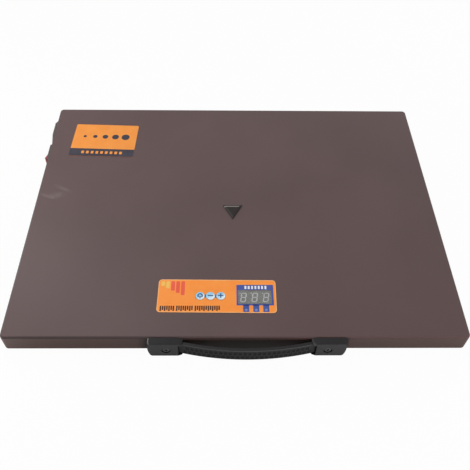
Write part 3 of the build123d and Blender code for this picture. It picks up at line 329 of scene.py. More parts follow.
def add_node(tree, kind, inputs=None, **settings):
    """Adds a shader node with its settings and inputs."""
    node = tree.nodes.new("ShaderNode" + kind)
    for key, value in settings.items():
        setattr(node, key, value)
    for key, value in (inputs or {}).items():
        feed(tree, node.inputs[key], value)
    return node


class Finish:
    """A material in the making: short calls add its nodes and feed its shader."""

    def __init__(self, name, **sockets):
        self.material = bpy.data.materials.new(name)
        self.material.use_nodes = True
        self.tree = self.material.node_tree
        self.shader = self.tree.nodes["Principled BSDF"]
        self.place = self.node("TexCoord").outputs["Object"]
        for socket, value in sockets.items():
            self.give(socket.replace("_", " "), value)

    def give(self, socket, value):
        """Feeds one of the shader's own sockets."""
        feed(self.tree, self.shader.inputs[socket], value)

    def node(self, kind, inputs=None, **settings):
        """Adds a node to the material."""
        return add_node(self.tree, kind, inputs, **settings)

    def noise(self, grain, detail=2.0, stretch=(1, 1, 1)):
        """Soft random pattern with blotches about grain millimetres across."""
        vector = self.node("Mapping", {"Vector": self.place, "Scale": stretch}).outputs["Vector"]
        size = {"Vector": vector, "Scale": 1 / (grain * MM), "Detail": detail}
        return self.node("TexNoise", size).outputs["Fac"]

    def cells(self, grain):
        """Random cells about grain millimetres across: 0 in the middle of each, 1 at its rim."""
        size = {"Vector": self.place, "Scale": 1 / (grain * MM)}
        return self.node("TexVoronoi", size).outputs["Distance"]

    def spot(self, place, turn, reach):
        """Soft oval spot, 1 in its middle: place and half axes in millimetres, turn in degrees."""
        oval = {
            "Vector": self.place,
            "Location": Vector(place) * MM,
            "Rotation": (0, 0, radians(turn)),
            "Scale": Vector(reach) * MM,
        }
        vector = self.node("Mapping", oval, vector_type="TEXTURE").outputs["Vector"]
        return self.node("TexGradient", {"Vector": vector}, gradient_type="SPHERICAL").outputs["Fac"]

    def between(self, value, low, high, start=0.0, end=1.0):
        """A value stretched so that low gives start and high gives end, held level beyond them."""
        ends = {"Value": value, "From Min": low, "From Max": high, "To Min": start, "To Max": end}
        return self.node("MapRange", ends).outputs["Result"]

    def times(self, first, second):
        """Two patterns multiplied."""
        return self.node("Math", {0: first, 1: second}, operation="MULTIPLY").outputs["Value"]

    def less(self, first, second):
        """One pattern taken from another."""
        return self.node("Math", {0: first, 1: second}, operation="SUBTRACT").outputs["Value"]

    def mix(self, share, first, second):
        """Two colours mixed by a pattern: each one another mix, or red, green and blue from 0 to 255."""
        first, second = [srgb(*tone) if isinstance(tone, tuple) else tone for tone in (first, second)]
        return self.node("Mix", {0: share, 6: first, 7: second}, data_type="RGBA").outputs[2]

    def axis(self, vector, name):
        """One coordinate of a vector."""
        return self.node("SeparateXYZ", {"Vector": vector}).outputs[name]

    def along(self, axis, place, band, start=0.0, end=1.0):
        """A band along an axis: start and end hold at its two distances from a place, in millimetres."""
        first, last = band
        distance = self.axis(self.place, axis)
        return self.between(distance, place + first * MM, place + last * MM, start, end)

    def normal(self, name):
        """How far the surface faces along an axis of the part."""
        return self.axis(self.node("NewGeometry").outputs["Normal"], name)

    def rough(self, pattern, low, high):
        """Roughness that goes from low to high over the usual range of a noise."""
        self.give("Roughness", self.between(pattern, *NOISE_RANGE, low, high))

    def bump(self, height, depth):
        """Raises the surface by a pattern, depth millimetres at most."""
        relief = self.node("Bump", {"Height": height, "Distance": depth * MM})
        self.give("Normal", relief.outputs["Normal"])


# Camera, light and floor

def aim_camera():
    """Camera at the photograph's place, pitched down at the panel."""
    data = bpy.data.cameras.new("photo_camera")
    data.sensor_width = SENSOR_WIDTH
    data.lens = FOCAL_PIXELS / IMAGE_SIDE * SENSOR_WIDTH
    data.clip_start = CAMERA_NEAR
    camera = bpy.data.objects.new("photo_camera", data)
    bpy.context.scene.collection.objects.link(camera)
    level = Matrix.Rotation(-CAMERA_YAW, 3, "Z")
    tip = Matrix.Rotation(pi / 2 - CAMERA_PITCH, 3, "X")
    lean = Matrix.Rotation(-CAMERA_ROLL, 3, "Z")
    turn = level @ tip @ lean
    camera.matrix_world = Matrix.Translation(CAMERA_PLACE) @ turn.to_4x4()
    bpy.context.scene.camera = camera


def shows_white(tree, mirrored=1.0):
    """How white the surroundings show: fully if seen straight, in a share if mirrored or refracted."""
    path = add_node(tree, "LightPath").outputs
    indirect = {0: path["Is Glossy Ray"], 1: path["Is Transmission Ray"]}
    turned = add_node(tree, "Math", indirect, operation="MAXIMUM").outputs["Value"]
    part = add_node(tree, "Math", {0: turned, 1: mirrored}, operation="MULTIPLY").outputs["Value"]
    seen = {0: path["Is Camera Ray"], 1: part}
    return add_node(tree, "Math", seen, operation="MAXIMUM").outputs["Value"]


def set_world():
    """White room: seen as white, and lighting the object softly from above and behind."""
    world = bpy.data.worlds.new("white_room")
    bpy.context.scene.world = world
    world.use_nodes = True
    tree = world.node_tree
    direction = {0: add_node(tree, "TexCoord").outputs["Generated"], 1: ROOM_BRIGHT_SIDE}
    toward = add_node(tree, "VectorMath", direction, operation="DOT_PRODUCT").outputs["Value"]
    ramp = {
        "Value": toward,
        "From Min": ROOM_TURN[0],
        "From Max": ROOM_TURN[1],
        "To Min": ROOM_DARK,
        "To Max": ROOM_BRIGHT,
    }
    light = add_node(tree, "MapRange", ramp).outputs["Result"]
    white = {"Value": shows_white(tree), "To Min": light, "To Max": 1.0}
    strength = add_node(tree, "MapRange", white).outputs["Result"]
    room = tree.nodes["Background"]
    feed(tree, room.inputs["Color"], (1, 1, 1, 1))
    feed(tree, room.inputs["Strength"], strength)


def add_lamp(name, place, aim, size, power, mirrored):
    """A soft strip lamp that looks at a point; glossy pieces mirror it or not."""
    data = bpy.data.lights.new(name, "AREA")
    data.energy = power
    data.shape = "RECTANGLE"
    data.size, data.size_y = size
    lamp = bpy.data.objects.new(name, data)
    bpy.context.scene.collection.objects.link(lamp)
    direction = Vector(aim) - Vector(place)
    lamp.location = place
    lamp.rotation_euler = direction.to_track_quat("-Z", "Y").to_euler()
    lamp.visible_glossy = mirrored


def lay_floor():
    """White floor that keeps a soft shadow."""
    floor_plane = start_piece(
        bpy.ops.mesh.primitive_plane_add, "floor", size=FLOOR_SIZE, location=(0, 0, -FLOOR_DROP)
    )
    paper = Finish(
        "white_paper",
        Base_Color=(FLOOR_TONE, FLOOR_TONE, FLOOR_TONE, 1),
        Roughness=FLOOR_ROUGHNESS,
        Specular_IOR_Level=0.0,
    )
    white = paper.between(shows_white(paper.tree, FLOOR_MIRROR), 0, 1, 0, FLOOR_GLOW)
    glow = paper.node("Emission").outputs["Emission"]
    both = paper.node("MixShader", {0: white, 1: paper.shader.outputs["BSDF"], 2: glow})
    surface = paper.tree.nodes["Material Output"].inputs["Surface"]
    feed(paper.tree, surface, both.outputs["Shader"])
    floor_plane.data.materials.append(paper.material)


# Finishes

def painted_wall_shade():
    """Painted shade on the wall around the handle, where the caps and the strap shade it: its middle and
    half axes in millimetres, and how thick it lies.
    """
    left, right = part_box("handle_cap_left"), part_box("handle_cap_right")
    wall_y, wall_z = left[1].y / MM, (left[0].z + left[1].z) / 2 / MM
    left_x, right_x = left[0].x / MM - CAP_END_BULGE, right[1].x / MM + CAP_END_BULGE
    patches = (
        (left_x, LEFT_CAP_SHADE),
        (right_x, RIGHT_CAP_SHADE),
        ((left_x + right_x) / 2, STRAP_SHADE),
    )
    return [
        ((x, wall_y, wall_z), (reach, WALL_SHADE_DEPTH, WALL_SHADE_HEIGHT), thickness)
        for x, (reach, thickness) in patches
    ]


def powder_coat(name, plain, pale, wall, bend_shade_tone, scuffs=(), wall_shade=()):
    """Satin sheet-metal paint: cloudy, with orange peel and rubbed streaks, a painted tint for the light
    on the walls, painted shade on the walls around the handle and painted shade along the bends.
    """
    # The pale tone is rubbed wear; the dark one is painted shade
    worn, shade_tone = (106, 92, 88), (16, 12, 11)
    paint = Finish(name, Specular_IOR_Level=0.5)
    clouds = paint.noise(grain=110, detail=2)
    peel = paint.noise(grain=0.9, detail=3)
    rubbed = paint.between(paint.noise(grain=5, detail=3), 0.35, 0.6, 0.25, 0.6)
    tone = paint.mix(paint.between(clouds, 0.3, 0.7), plain, pale)
    tone = paint.mix(paint.between(peel, 0.62, 0.8, 0, 0.25), tone, pale)
    for place, turn, reach in scuffs:
        streak = paint.between(paint.spot(place, turn, reach), 0.0, 0.7)
        tone = paint.mix(paint.times(streak, rubbed), tone, worn)
    facing = paint.normal("Z")
    # Painted tint: faces turned from up towards upright take the wall tone, for the light that falls on
    # the walls
    tone = paint.mix(paint.between(facing, 0.6, 0.2, 0, 0.6), tone, wall)
    # Painted shade on the wall beside the caps and behind the strap
    for place, reach, thickness in wall_shade:
        shade_patch = paint.between(paint.spot(place, 0, reach), 0.0, 1.0, 0, thickness)
        tone = paint.mix(paint.times(shade_patch, paint.between(facing, 0.9, 0.4)), tone, shade_tone)
    # Painted shade along the bends, full towards the left and a tenth of it towards the right
    bend = paint.times(paint.between(facing, 0.02, 0.25), paint.between(facing, 0.99, 0.85))
    leftward = paint.along("X", 0, BEND_SHADE, 0.1, 1.0)
    paint.give("Base Color", paint.mix(paint.times(bend, leftward), tone, bend_shade_tone))
    paint.rough(peel, 0.42, 0.54)
    paint.bump(peel, depth=0.02)
    return paint.material


def moulded(name, dark, light, grain, depth, roughness):
    """Plastic with a fine spark-eroded grain."""
    plastic = Finish(name, Specular_IOR_Level=0.5)
    pits = plastic.noise(grain, detail=3)
    plastic.give("Base Color", plastic.mix(plastic.between(pits, 0.35, 0.65), dark, light))
    plastic.rough(pits, roughness - 0.06, roughness + 0.06)
    plastic.bump(pits, depth)
    return plastic.material


def treaded_grip(name, plain, rib, dimple, worn):
    """Soft moulding: pale ribs, the other faces in painted shade, painted shade in the dimples, a painted
    highlight along the top edge and painted shade on the lower rim.
    """
    grip = Finish(name, Specular_IOR_Level=0.25)
    pits = grip.noise(grain=0.4, detail=3)
    # Painted shade: faces other than the outer face take the darker plain tone, and the dimple floors the
    # darker dimple tone
    outer_face = grip.between(grip.normal("Y"), -0.6, -0.9)
    shaded_hollow = grip.node("Attribute", attribute_name="dimple").outputs["Fac"]
    tone = grip.mix(shaded_hollow, grip.mix(outer_face, plain, rib), dimple)
    tone = grip.mix(grip.between(pits, 0.4, 0.7, 0, 0.3), tone, dimple)
    # Painted highlight along the top outer edge of the strap
    outward = grip.between(grip.normal("Y"), -0.25, -0.5)
    upward = grip.between(grip.normal("Z"), 0.25, 0.5)
    edge = grip.along("Z", grip_high.z, STRAP_HIGHLIGHT_EDGE)
    tone = grip.mix(grip.times(edge, grip.times(outward, upward)), tone, worn)
    # Painted shade along the lower rim of the strap
    shaded_lower_rim = grip.along("Z", grip_low.z, STRAP_SHADED_RIM)
    grip.give("Base Color", grip.mix(shaded_lower_rim, tone, (8, 8, 9)))
    grip.rough(pits, 0.44, 0.56)
    grip.bump(pits, depth=0.03)
    return grip.material


def recessed_screw(name, head, cross_shade):
    """Painted screw with a worn head, and painted shade in its cross and on its rim."""
    screw = Finish(name)
    head_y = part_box("handle_screws")[0].y
    rub = screw.noise(grain=0.8, detail=3)
    tone = screw.mix(screw.between(rub, 0.35, 0.65, 0, 0.5), head, (62, 61, 63))
    # Painted shade on all that lies sunk below the head's outer face: the cross and the rim
    shaded_depth = screw.along("Y", head_y, SCREW_CROSS_SHADE)
    screw.give("Base Color", screw.mix(shaded_depth, tone, cross_shade))
    screw.rough(rub, 0.36, 0.5)
    return screw.material


def bevelled_badge(name, body, bright, foot):
    """Black moulding with a painted highlight along the top of its far slope, above a foot in painted
    shade.
    """
    badge = Finish(name, Roughness=0.34, Specular_IOR_Level=0.25)
    far_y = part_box("arrow_badge")[1].y
    pits = badge.noise(grain=0.6, detail=3)
    tone = badge.mix(badge.between(pits, 0.35, 0.65, 0, 0.4), body, (48, 41, 39))
    # Painted highlight along the top of the far slope, kept off the faces turned to the right
    off_the_right = badge.between(badge.normal("X"), 0.15, 0.05)
    rubbed = badge.times(badge.along("Y", far_y, BADGE_HIGHLIGHT_LINE), off_the_right)
    tone = badge.mix(rubbed, tone, bright)
    # Painted shade on the foot of the far slope
    badge.give("Base Color", badge.mix(badge.along("Y", far_y, BADGE_SHADED_FOOT), tone, foot))
    badge.bump(pits, depth=0.006)
    return badge.material


def grained_cap(name, side, face, worn):
    """End-cap plastic: grained face, smoother sides in painted shade, a painted highlight on the end
    edge, painted shade in the screw recess.
    """
    plastic = Finish(name)
    pits = plastic.noise(grain=0.45, detail=3)
    # Painted shade: the sides take a darker tone than the outward face
    outward = plastic.between(plastic.normal("Y"), -0.35, -0.9)
    tone = plastic.mix(outward, side, face)
    speck = plastic.between(pits, 0.35, 0.7, 0, 0.35)
    tone = plastic.mix(speck, tone, (48, 47, 49))
    # Painted highlight on the edge between the top and the left-facing end
    leftward = plastic.between(plastic.normal("X"), -0.2, -0.45)
    upward = plastic.between(plastic.normal("Z"), 0.4, 0.6)
    tone = plastic.mix(plastic.times(leftward, upward), tone, worn)
    # Painted shade on the outward floors sunk below the cap's face, darker still in the recess around
    # each screw
    face_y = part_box("handle_cap_left")[0].y
    shaded_depth = plastic.along("Y", face_y, CAP_DEEP_SHADE)
    tone = plastic.mix(plastic.times(shaded_depth, outward), tone, (12, 12, 13))
    shaded_hollow = plastic.along("Y", face_y, CAP_SUNK_SHADE)
    screws_low, screws_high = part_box("handle_screws")
    head = (screws_high.z - screws_low.z) / 2
    for screw_x in (screws_low.x + head, screws_high.x - head):
        middle = Vector((screw_x, face_y, (screws_low.z + screws_high.z) / 2)) / MM
        hole = plastic.between(plastic.spot(middle, 0, CAP_RECESS_SHADE), 0.0, 0.05)
        tone = plastic.mix(plastic.times(hole, shaded_hollow), tone, (4, 4, 5))
    plastic.give("Base Color", tone)
    plastic.give("Roughness", plastic.between(outward, 0, 1, 0.42, 0.55))
    plastic.give("Specular IOR Level", plastic.between(outward, 0, 1, 0.18, 0.5))
    plastic.bump(pits, depth=0.03)
    return plastic.material


def printed_film(name, ink, worn, roughness):
    """Screen-printed film: even ink with a faint mottle and a fine satin texture."""
    film = Finish(name, Specular_IOR_Level=0.3)
    mottle = film.noise(grain=14, detail=3)
    weave = film.noise(grain=0.35, detail=2)
    film.give("Base Color", film.mix(film.between(mottle, 0.35, 0.7), ink, worn))
    film.rough(weave, roughness - 0.05, roughness + 0.07)
    film.bump(weave, depth=0.006)
    return film.material


def clear_blue(name):
    """Key moulding: pale blue, with a painted highlight towards one side, under a gloss."""
    key = Finish(name, Coat_Weight=0.4, Coat_Roughness=0.08)
    swirl = key.noise(grain=5, detail=2)
    tone = key.mix(key.between(swirl, 0.35, 0.65), (118, 194, 232), (142, 208, 240))
    # Painted highlight on the side of the dome that leans to the right and the near side
    highlight_side = key.less(key.normal("X"), key.normal("Y"))
    key.give("Base Color", key.mix(key.between(highlight_side, -0.06, 0.2), tone, (228, 244, 252)))
    key.rough(swirl, 0.16, 0.24)
    return key.material


def clear_pane(name, tint, share, roughness):
    """See-through pane or tube with a faint tint and fine smears."""
    pane = Finish(name, Alpha=share)
    smear = pane.noise(grain=9, detail=3, stretch=(1, 3, 1))
    pane.give("Base Color", pane.mix(pane.between(smear, 0.3, 0.7), tint, (150, 154, 150)))
    pane.rough(smear, roughness, roughness + 0.08)
    return pane.material


def metal(name, plain, bright, roughness, stretch):
    """Rolled or plated metal with a fine drawn grain."""
    sheet = Finish(name, Metallic=1.0)
    drawn = sheet.noise(grain=0.6, detail=4, stretch=stretch)
    sheet.give("Base Color", sheet.mix(sheet.between(drawn, 0.3, 0.7), plain, bright))
    sheet.rough(drawn, roughness - 0.07, roughness + 0.1)
    sheet.bump(drawn, depth=0.008)
    return sheet.material


def crinkled_foil(name):
    """Thin bright foil pressed flat, still creased."""
    foil = Finish(name, Metallic=1.0)
    crease = foil.cells(grain=11)
    fine = foil.noise(grain=2.5, detail=3)
    foil.give("Base Color", foil.mix(fine, (196, 198, 202), (232, 233, 236)))
    foil.give("Roughness", foil.between(crease, 0, 0.7, 0.2, 0.38))
    foil.bump(crease, depth=0.12)
    return foil.material


def pressed_fibre(name):
    """Mineral fibre board: felted cream strands and loose shot."""
    board = Finish(name, Roughness=0.95)
    strands = board.noise(grain=1.2, detail=5, stretch=(1, 6, 1))
    shot = board.cells(grain=4)
    tone = board.mix(board.between(strands, 0.35, 0.65), (204, 194, 170), (240, 234, 218))
    board.give("Base Color", board.mix(board.between(shot, 0.12, 0.05), tone, (150, 136, 110)))
    board.bump(strands, depth=0.3)
    return board.material


def mica_sheet(name):
    """Heater board: flaky mica, golden brown with silver flakes."""
    mica = Finish(name)
    flakes = mica.cells(grain=6)
    cloud = mica.noise(grain=30, detail=3)
    tone = mica.mix(mica.between(cloud, 0.3, 0.7), (166, 146, 112), (192, 172, 136))
    mica.give("Base Color", mica.mix(mica.between(flakes, 0.5, 0.7, 0, 0.6), tone, (214, 206, 188)))
    mica.give("Roughness", mica.between(flakes, 0.2, 0.7, 0.35, 0.6))
    mica.bump(flakes, depth=0.03)
    return mica.material


def solder_mask(name):
    """Circuit board: green mask over faint copper runs."""
    mask = Finish(name, Coat_Weight=0.3)
    runs = mask.node("TexBrick", {"Vector": mask.place, "Scale": 220.0}).outputs["Fac"]
    cloud = mask.noise(grain=8, detail=2)
    tone = mask.mix(cloud, (30, 100, 58), (42, 122, 70))
    mask.give("Base Color", mask.mix(mask.times(runs, 0.6), tone, (72, 150, 92)))
    mask.rough(cloud, 0.28, 0.4)
    mask.bump(runs, depth=0.02)
    return mask.material


def wire_sleeve(name, plain, pale):
    """Extruded sleeve with faint draw marks and a waxy shine."""
    sleeve = Finish(name)
    marks = sleeve.noise(grain=1.8, detail=3)
    tone = sleeve.mix(sleeve.between(marks, 0.35, 0.7), plain, pale)
    sleeve.give("Base Color", tone)
    sleeve.rough(marks, 0.3, 0.42)
    return sleeve.material


def striped_sleeve(name):
    """Earth wire: green with yellow stripes."""
    sleeve = Finish(name)
    wobble = sleeve.noise(grain=3, detail=1)
    height = {0: sleeve.axis(sleeve.place, "Z"), 1: EARTH_STRIPE * MM}
    stripe = sleeve.node("Math", height, operation="PINGPONG").outputs["Value"]
    first, last = EARTH_STRIPE_EDGE
    edge = sleeve.between(stripe, first * MM, last * MM)
    green = sleeve.mix(wobble, (74, 150, 44), (96, 172, 60))
    sleeve.give("Base Color", sleeve.mix(edge, green, (222, 196, 52)))
    sleeve.rough(wobble, 0.3, 0.42)
    return sleeve.material


def make_finishes():
    """One finish for each material slot of the part."""
    # The wall tone is a painted tint for the light on the walls; the bend tone is painted shade
    wall, bend_shade_tone = (74, 58, 51), (47, 35, 34)
    face_marks = {"scuffs": FACE_SCUFFS, "wall_shade": painted_wall_shade()}
    finishes = {
        "casing_paint": powder_coat(
            "brown_paint", (78, 55, 55), (85, 61, 61), wall, bend_shade_tone, **face_marks
        ),
        "rear_paint": powder_coat("rear_paint_coat", (74, 54, 54), (82, 60, 60), wall, bend_shade_tone),
        "badge_black": bevelled_badge("badge_gloss", (26, 19, 18), (138, 130, 126), (36, 28, 27)),
        "label_film": printed_film("label_ink", (234, 143, 54), (238, 150, 62), 0.42),
        "overlay_film": printed_film("overlay_ink", (254, 147, 52), (255, 154, 63), 0.4),
        "grip_plastic": treaded_grip(
            "soft_grip", (28, 27, 28), (47, 46, 47), (26, 25, 26), (74, 73, 74)
        ),
        "cap_plastic": grained_cap("cap_grain", (31, 29, 31), (51, 49, 51), (112, 108, 106)),
        "key_blue": clear_blue("key_gloss"),
        "window_smoke": clear_pane("window_tint", (96, 100, 96), share=0.18, roughness=0.1),
        "screw_black": recessed_screw("screw_paint", (88, 87, 89), (8, 8, 9)),
        "board_green": solder_mask("board_mask"),
        "fuse_glass": clear_pane("fuse_tube", (214, 220, 222), share=0.35, roughness=0.05),
        "heater_board": mica_sheet("mica"),
        "foil": crinkled_foil("bright_foil"),
        "insulation": pressed_fibre("fibre_board"),
        "wire_earth": striped_sleeve("earth_sleeve"),
    }
    for make, table in ((moulded, MOULDED), (metal, METALS), (wire_sleeve, SLEEVES)):
        finishes.update({slot: make(*values) for slot, values in table.items()})
    return finishes


def dress_nodes(finishes):
    """Each carried-over piece swaps its plain slot colour for the finish of that slot."""
    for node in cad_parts.values():
        slots = node.data.materials
        for i, plain in enumerate(slots):
            slots[i] = finishes[plain.name]


# Modelling by hand

def select_only(*pieces):
    """Selects these pieces and nothing else, the first one as the active one."""
    bpy.ops.object.select_all(action="DESELECT")
    for piece in pieces:
        piece.select_set(True)
    bpy.context.view_layer.objects.active = pieces[0]


def name_piece(piece, name):
    """Names a piece and its mesh."""
    piece.name = name
    piece.data.name = name
    return piece


def start_piece(primitive, name, **sizes):
    """Adds a primitive with nothing else selected."""
    bpy.ops.object.select_all(action="DESELECT")
    primitive(**sizes)
    return name_piece(bpy.context.object, name)


def settle(piece):
    """Puts a piece's place, turn and size into its mesh."""
    select_only(piece)
    bpy.ops.object.transform_apply(location=True, rotation=True, scale=True)


def edit(piece, kind="FACE"):
    """Opens a piece in edit mode with all of it selected."""
    bpy.context.view_layer.objects.active = piece
    bpy.ops.object.mode_set(mode="EDIT")
    bpy.ops.mesh.select_mode(type=kind)
    bpy.ops.mesh.select_all(action="SELECT")


def close_edit():
    """Merges doubles, turns all faces outwards and leaves edit mode."""
    bpy.ops.mesh.select_mode(type="VERT")
    bpy.ops.mesh.select_all(action="SELECT")
    bpy.ops.mesh.remove_doubles(threshold=MERGE_DISTANCE * MM)
    bpy.ops.mesh.normals_make_consistent(inside=False)
    bpy.ops.object.mode_set(mode="OBJECT")


def pick_faces(piece, wanted):
    """In edit mode, selects just the faces whose middle is wanted."""
    mesh = bmesh.from_edit_mesh(piece.data)
    for face in mesh.faces:
        face.select_set(bool(wanted(face.calc_center_median())))
    bmesh.update_edit_mesh(piece.data)


def join(name, pieces):
    """Makes several pieces one."""
    select_only(*pieces)
    bpy.ops.object.join()
    return name_piece(pieces[0], name)


def copy_piece(piece, name, shift=(0, 0, 0)):
    """A copy with a mesh of its own, moved by some millimetres."""
    select_only(piece)
    bpy.ops.object.duplicate(linked=False)
    twin = name_piece(bpy.context.object, name)
    twin.location = Vector(shift) * MM
    settle(twin)
    return twin


def row_of(first, shifts):
    """A piece and its copies, each moved along X by some millimetres."""
    return [first] + [copy_piece(first, first.name, (shift, 0, 0)) for shift in shifts]


def copy_node(node, name):
    """A merged copy of a carried-over piece, open in edit mode to be reshaped."""
    piece = bpy.data.objects.new(name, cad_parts[node].data.copy())
    bpy.context.scene.collection.objects.link(piece)
    select_only(piece)
    bpy.ops.mesh.customdata_custom_splitnormals_clear()
    edit(piece, "VERT")
    bpy.ops.mesh.remove_doubles(threshold=MERGE_DISTANCE * MM)
    return piece


def dress(piece, finish):
    """Gives a new piece its finish."""
    piece.data.materials.clear()
    piece.data.materials.append(finish)


def hand_over(piece, finish, body):
    """Gives a new piece its finish and the body that carries it."""
    dress(piece, finish)
    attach(piece, body)


def flat_face(name, size, place):
    """One flat face, its size and place in millimetres."""
    piece = start_piece(bpy.ops.mesh.primitive_plane_add, name, size=MM, location=Vector(place) * MM)
    piece.scale = (size[0], size[1], 1)
    settle(piece)
    return piece


def round_corners(corner, steps=CORNER_STEPS):
    """In edit mode, rounds the corners of a face and selects all of it."""
    bpy.ops.mesh.bevel(offset=corner * MM, affect="VERTICES", segments=steps)
    bpy.ops.mesh.select_all(action="SELECT")


def push_out(x, y, z):
    """In edit mode, extrudes what is selected by some millimetres."""
    bpy.ops.mesh.extrude_region_move(TRANSFORM_OT_translate={"value": Vector((x, y, z)) * MM})


def plate(name, size, place, corner=0.0, thickness=INK):
    """Thin plate of ink with rounded corners; its underside is at place, in millimetres."""
    piece = flat_face(name, size, place)
    edit(piece, "VERT")
    if corner:
        round_corners(corner)
    push_out(0, 0, thickness)
    close_edit()
    return piece


def disc(name, radius, place, thickness=INK):
    """Thin round plate of ink; its underside is at place, in millimetres."""
    piece = start_piece(
        bpy.ops.mesh.primitive_circle_add,
        name,
        vertices=DISC_SIDES,
        radius=radius * MM,
        fill_type="NGON",
        location=Vector(place) * MM,
    )
    settle(piece)
    edit(piece)
    push_out(0, 0, thickness)
    close_edit()
    return piece


# Carry strap: each half runs from the middle of the strap to the casing

def strap_section(name, thickness, width, corner=0.0):
    """Cross-section of the strap at its middle: a loop of edges, upright behind the arc."""
    place = (strap_x, arc_centre_y - arc_radius * MM, strap_z)
    piece = start_piece(
        bpy.ops.mesh.primitive_plane_add, name, size=MM, location=place, rotation=(0, pi / 2, 0)
    )
    piece.scale = (width, thickness, 1)
    settle(piece)
    edit(piece, "VERT")
    if corner:
        round_corners(corner, STRAP_EDGE_STEPS)
    bpy.ops.mesh.delete(type="ONLY_FACE")
    bpy.ops.mesh.select_all(action="SELECT")
    return piece


def spin_along_arc(steps):
    """Spins what is selected from the strap's middle to its right end."""
    bpy.ops.mesh.spin(
        steps=steps, angle=-arc_half_angle, center=(strap_x, arc_centre_y, strap_z), axis=(0, 0, 1)
    )


def is_tread(middle):
    """Whether a face of the spun strap lies in one of the staggered tread dimples."""
    reach = hypot(middle.x - strap_x, middle.y - arc_centre_y) / MM
    if reach < arc_radius + STRAP_THICKNESS / 2 - TREAD_FACE_PLAY:
        return False
    side = (middle.z - strap_z) / MM
    if not TREAD_ROW_GAP / 2 < abs(side) < strap_width / 2 - STRAP_RIM:
        return False
    pitch = TREAD_STEPS + TREAD_GAP_STEPS
    shift = TREAD_GAP_STEPS // 2 if side > 0 else pitch // 2 + TREAD_GAP_STEPS // 2
    step = floor(atan2(middle.x - strap_x, arc_centre_y - middle.y) / step_angle)
    along = step - shift + pitch
    last = along - along % pitch + TREAD_STEPS - pitch + shift
    limit = STRAP_STEPS * (1 - TREAD_END_MARGIN / STRAP_HALF_SPAN)
    return along % pitch < TREAD_STEPS and last <= limit


def mark_dimples(sleeve):
    """In edit mode, notes which faces are dimple floors, for the finish to paint shade into."""
    mesh = bmesh.from_edit_mesh(sleeve.data)
    dimple = mesh.faces.layers.float.new("dimple")
    for face in mesh.faces:
        face[dimple] = float(face.select)
    bmesh.update_edit_mesh(sleeve.data)


def pick_open_edges(piece, at_middle):
    """In edit mode, selects the open edges at the strap's middle, or those at its end."""
    mesh = bmesh.from_edit_mesh(piece.data)
    for edge in mesh.edges:
        middle = (edge.verts[0].co + edge.verts[1].co) / 2
        near = middle.x - strap_x < STRAP_HALF_SPAN / 2 * MM
        edge.select_set(edge.is_boundary and near == at_middle)
    bmesh.update_edit_mesh(piece.data)


def model_grip():
    """Right half of the moulded sleeve, with its rims, tread dimples and channel for the core."""
    sleeve = strap_section("handle_grip_right", STRAP_THICKNESS, strap_width, STRAP_EDGE)
    spin_along_arc(STRAP_STEPS)
    row_edges = (strap_width / 2 - STRAP_RIM, TREAD_ROW_GAP / 2)
    for height in [side * edge for edge in row_edges for side in (-1, 1)]:
        bpy.ops.mesh.select_all(action="SELECT")
        bpy.ops.mesh.bisect(plane_co=(0, 0, strap_z + height * MM), plane_no=(0, 0, 1))
    bpy.ops.mesh.select_mode(type="FACE")
    bpy.ops.mesh.select_all(action="SELECT")
    bpy.ops.mesh.normals_make_consistent(inside=False)
    pick_faces(sleeve, is_tread)
    bpy.ops.mesh.inset(thickness=TREAD_SLOPE * MM, depth=-TREAD_DEPTH * MM, use_boundary=False)
    mark_dimples(sleeve)
    bpy.ops.object.mode_set(mode="OBJECT")
    play = 2 * CHANNEL_PLAY
    channel = strap_section("channel", CORE_THICKNESS + play, CORE_WIDTH + play)
    spin_along_arc(STRAP_STEPS)
    bpy.ops.object.mode_set(mode="OBJECT")
    join("handle_grip_right", [sleeve, channel])
    edit(sleeve, "EDGE")
    for at_middle in (True, False):
        pick_open_edges(sleeve, at_middle)
        bpy.ops.mesh.bridge_edge_loops()
    close_edit()
    return sleeve


def model_core():
    """Right half of the spring strip: bowed, eased flat into the cap, and slotted at its end."""
    strip = strap_section("handle_core_right", CORE_THICKNESS, CORE_WIDTH)
    spin_along_arc(CORE_STEPS)
    ease_reach = (arc_radius + CORE_EASE_RADIUS) * MM
    ease_centre = (
        strap_x + ease_reach * sin(arc_half_angle),
        arc_centre_y - ease_reach * cos(arc_half_angle),
        strap_z,
    )
    bpy.ops.mesh.spin(
        steps=CORE_EASE_STEPS, angle=arc_half_angle, center=ease_centre, axis=(0, 0, 1)
    )
    push_out((core_high.x - ease_centre[0]) / MM, 0, 0)
    bpy.ops.mesh.select_all(action="SELECT")
    bpy.ops.mesh.fill_holes(sides=0)
    close_edit()
    slot_corner = CORE_SLOT[1] / 2 - ROUND_SPARE
    cutter = plate("slot", CORE_SLOT, (0, 0, 0), slot_corner, SLOT_CUTTER_HEIGHT)
    cutter.rotation_euler = (pi / 2, 0, 0)
    slot_x = core_high.x - CORE_SLOT_FROM_END * MM
    cutter.location = (slot_x, core_high.y + SLOT_CUTTER_BEHIND * MM, strap_z)
    settle(cutter)
    cut = strip.modifiers.new("slot", "BOOLEAN")
    cut.operation = "DIFFERENCE"
    cut.object = cutter
    bpy.context.view_layer.objects.active = strip
    bpy.ops.object.modifier_apply(modifier=cut.name)
    bpy.data.objects.remove(cutter)
    return strip


def mirror_half(right_half, name):
    """The left half of the strap, mirrored about its middle."""
    left_half = copy_piece(right_half, name)
    left_half.scale.x = -1
    left_half.location.x = 2 * strap_x
    settle(left_half)
    edit(left_half)
    close_edit()
    return left_half


def hang_half(half, node, finish):
    """Smooths a strap half, gives it its finish, hides the carried-over piece it replaces and puts its
    place into its mesh.
    """
    select_only(half)
    bpy.ops.object.shade_smooth_by_angle(angle=SMOOTH_ANGLE)
    dress(half, finish)
    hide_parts(node)
    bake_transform(half)


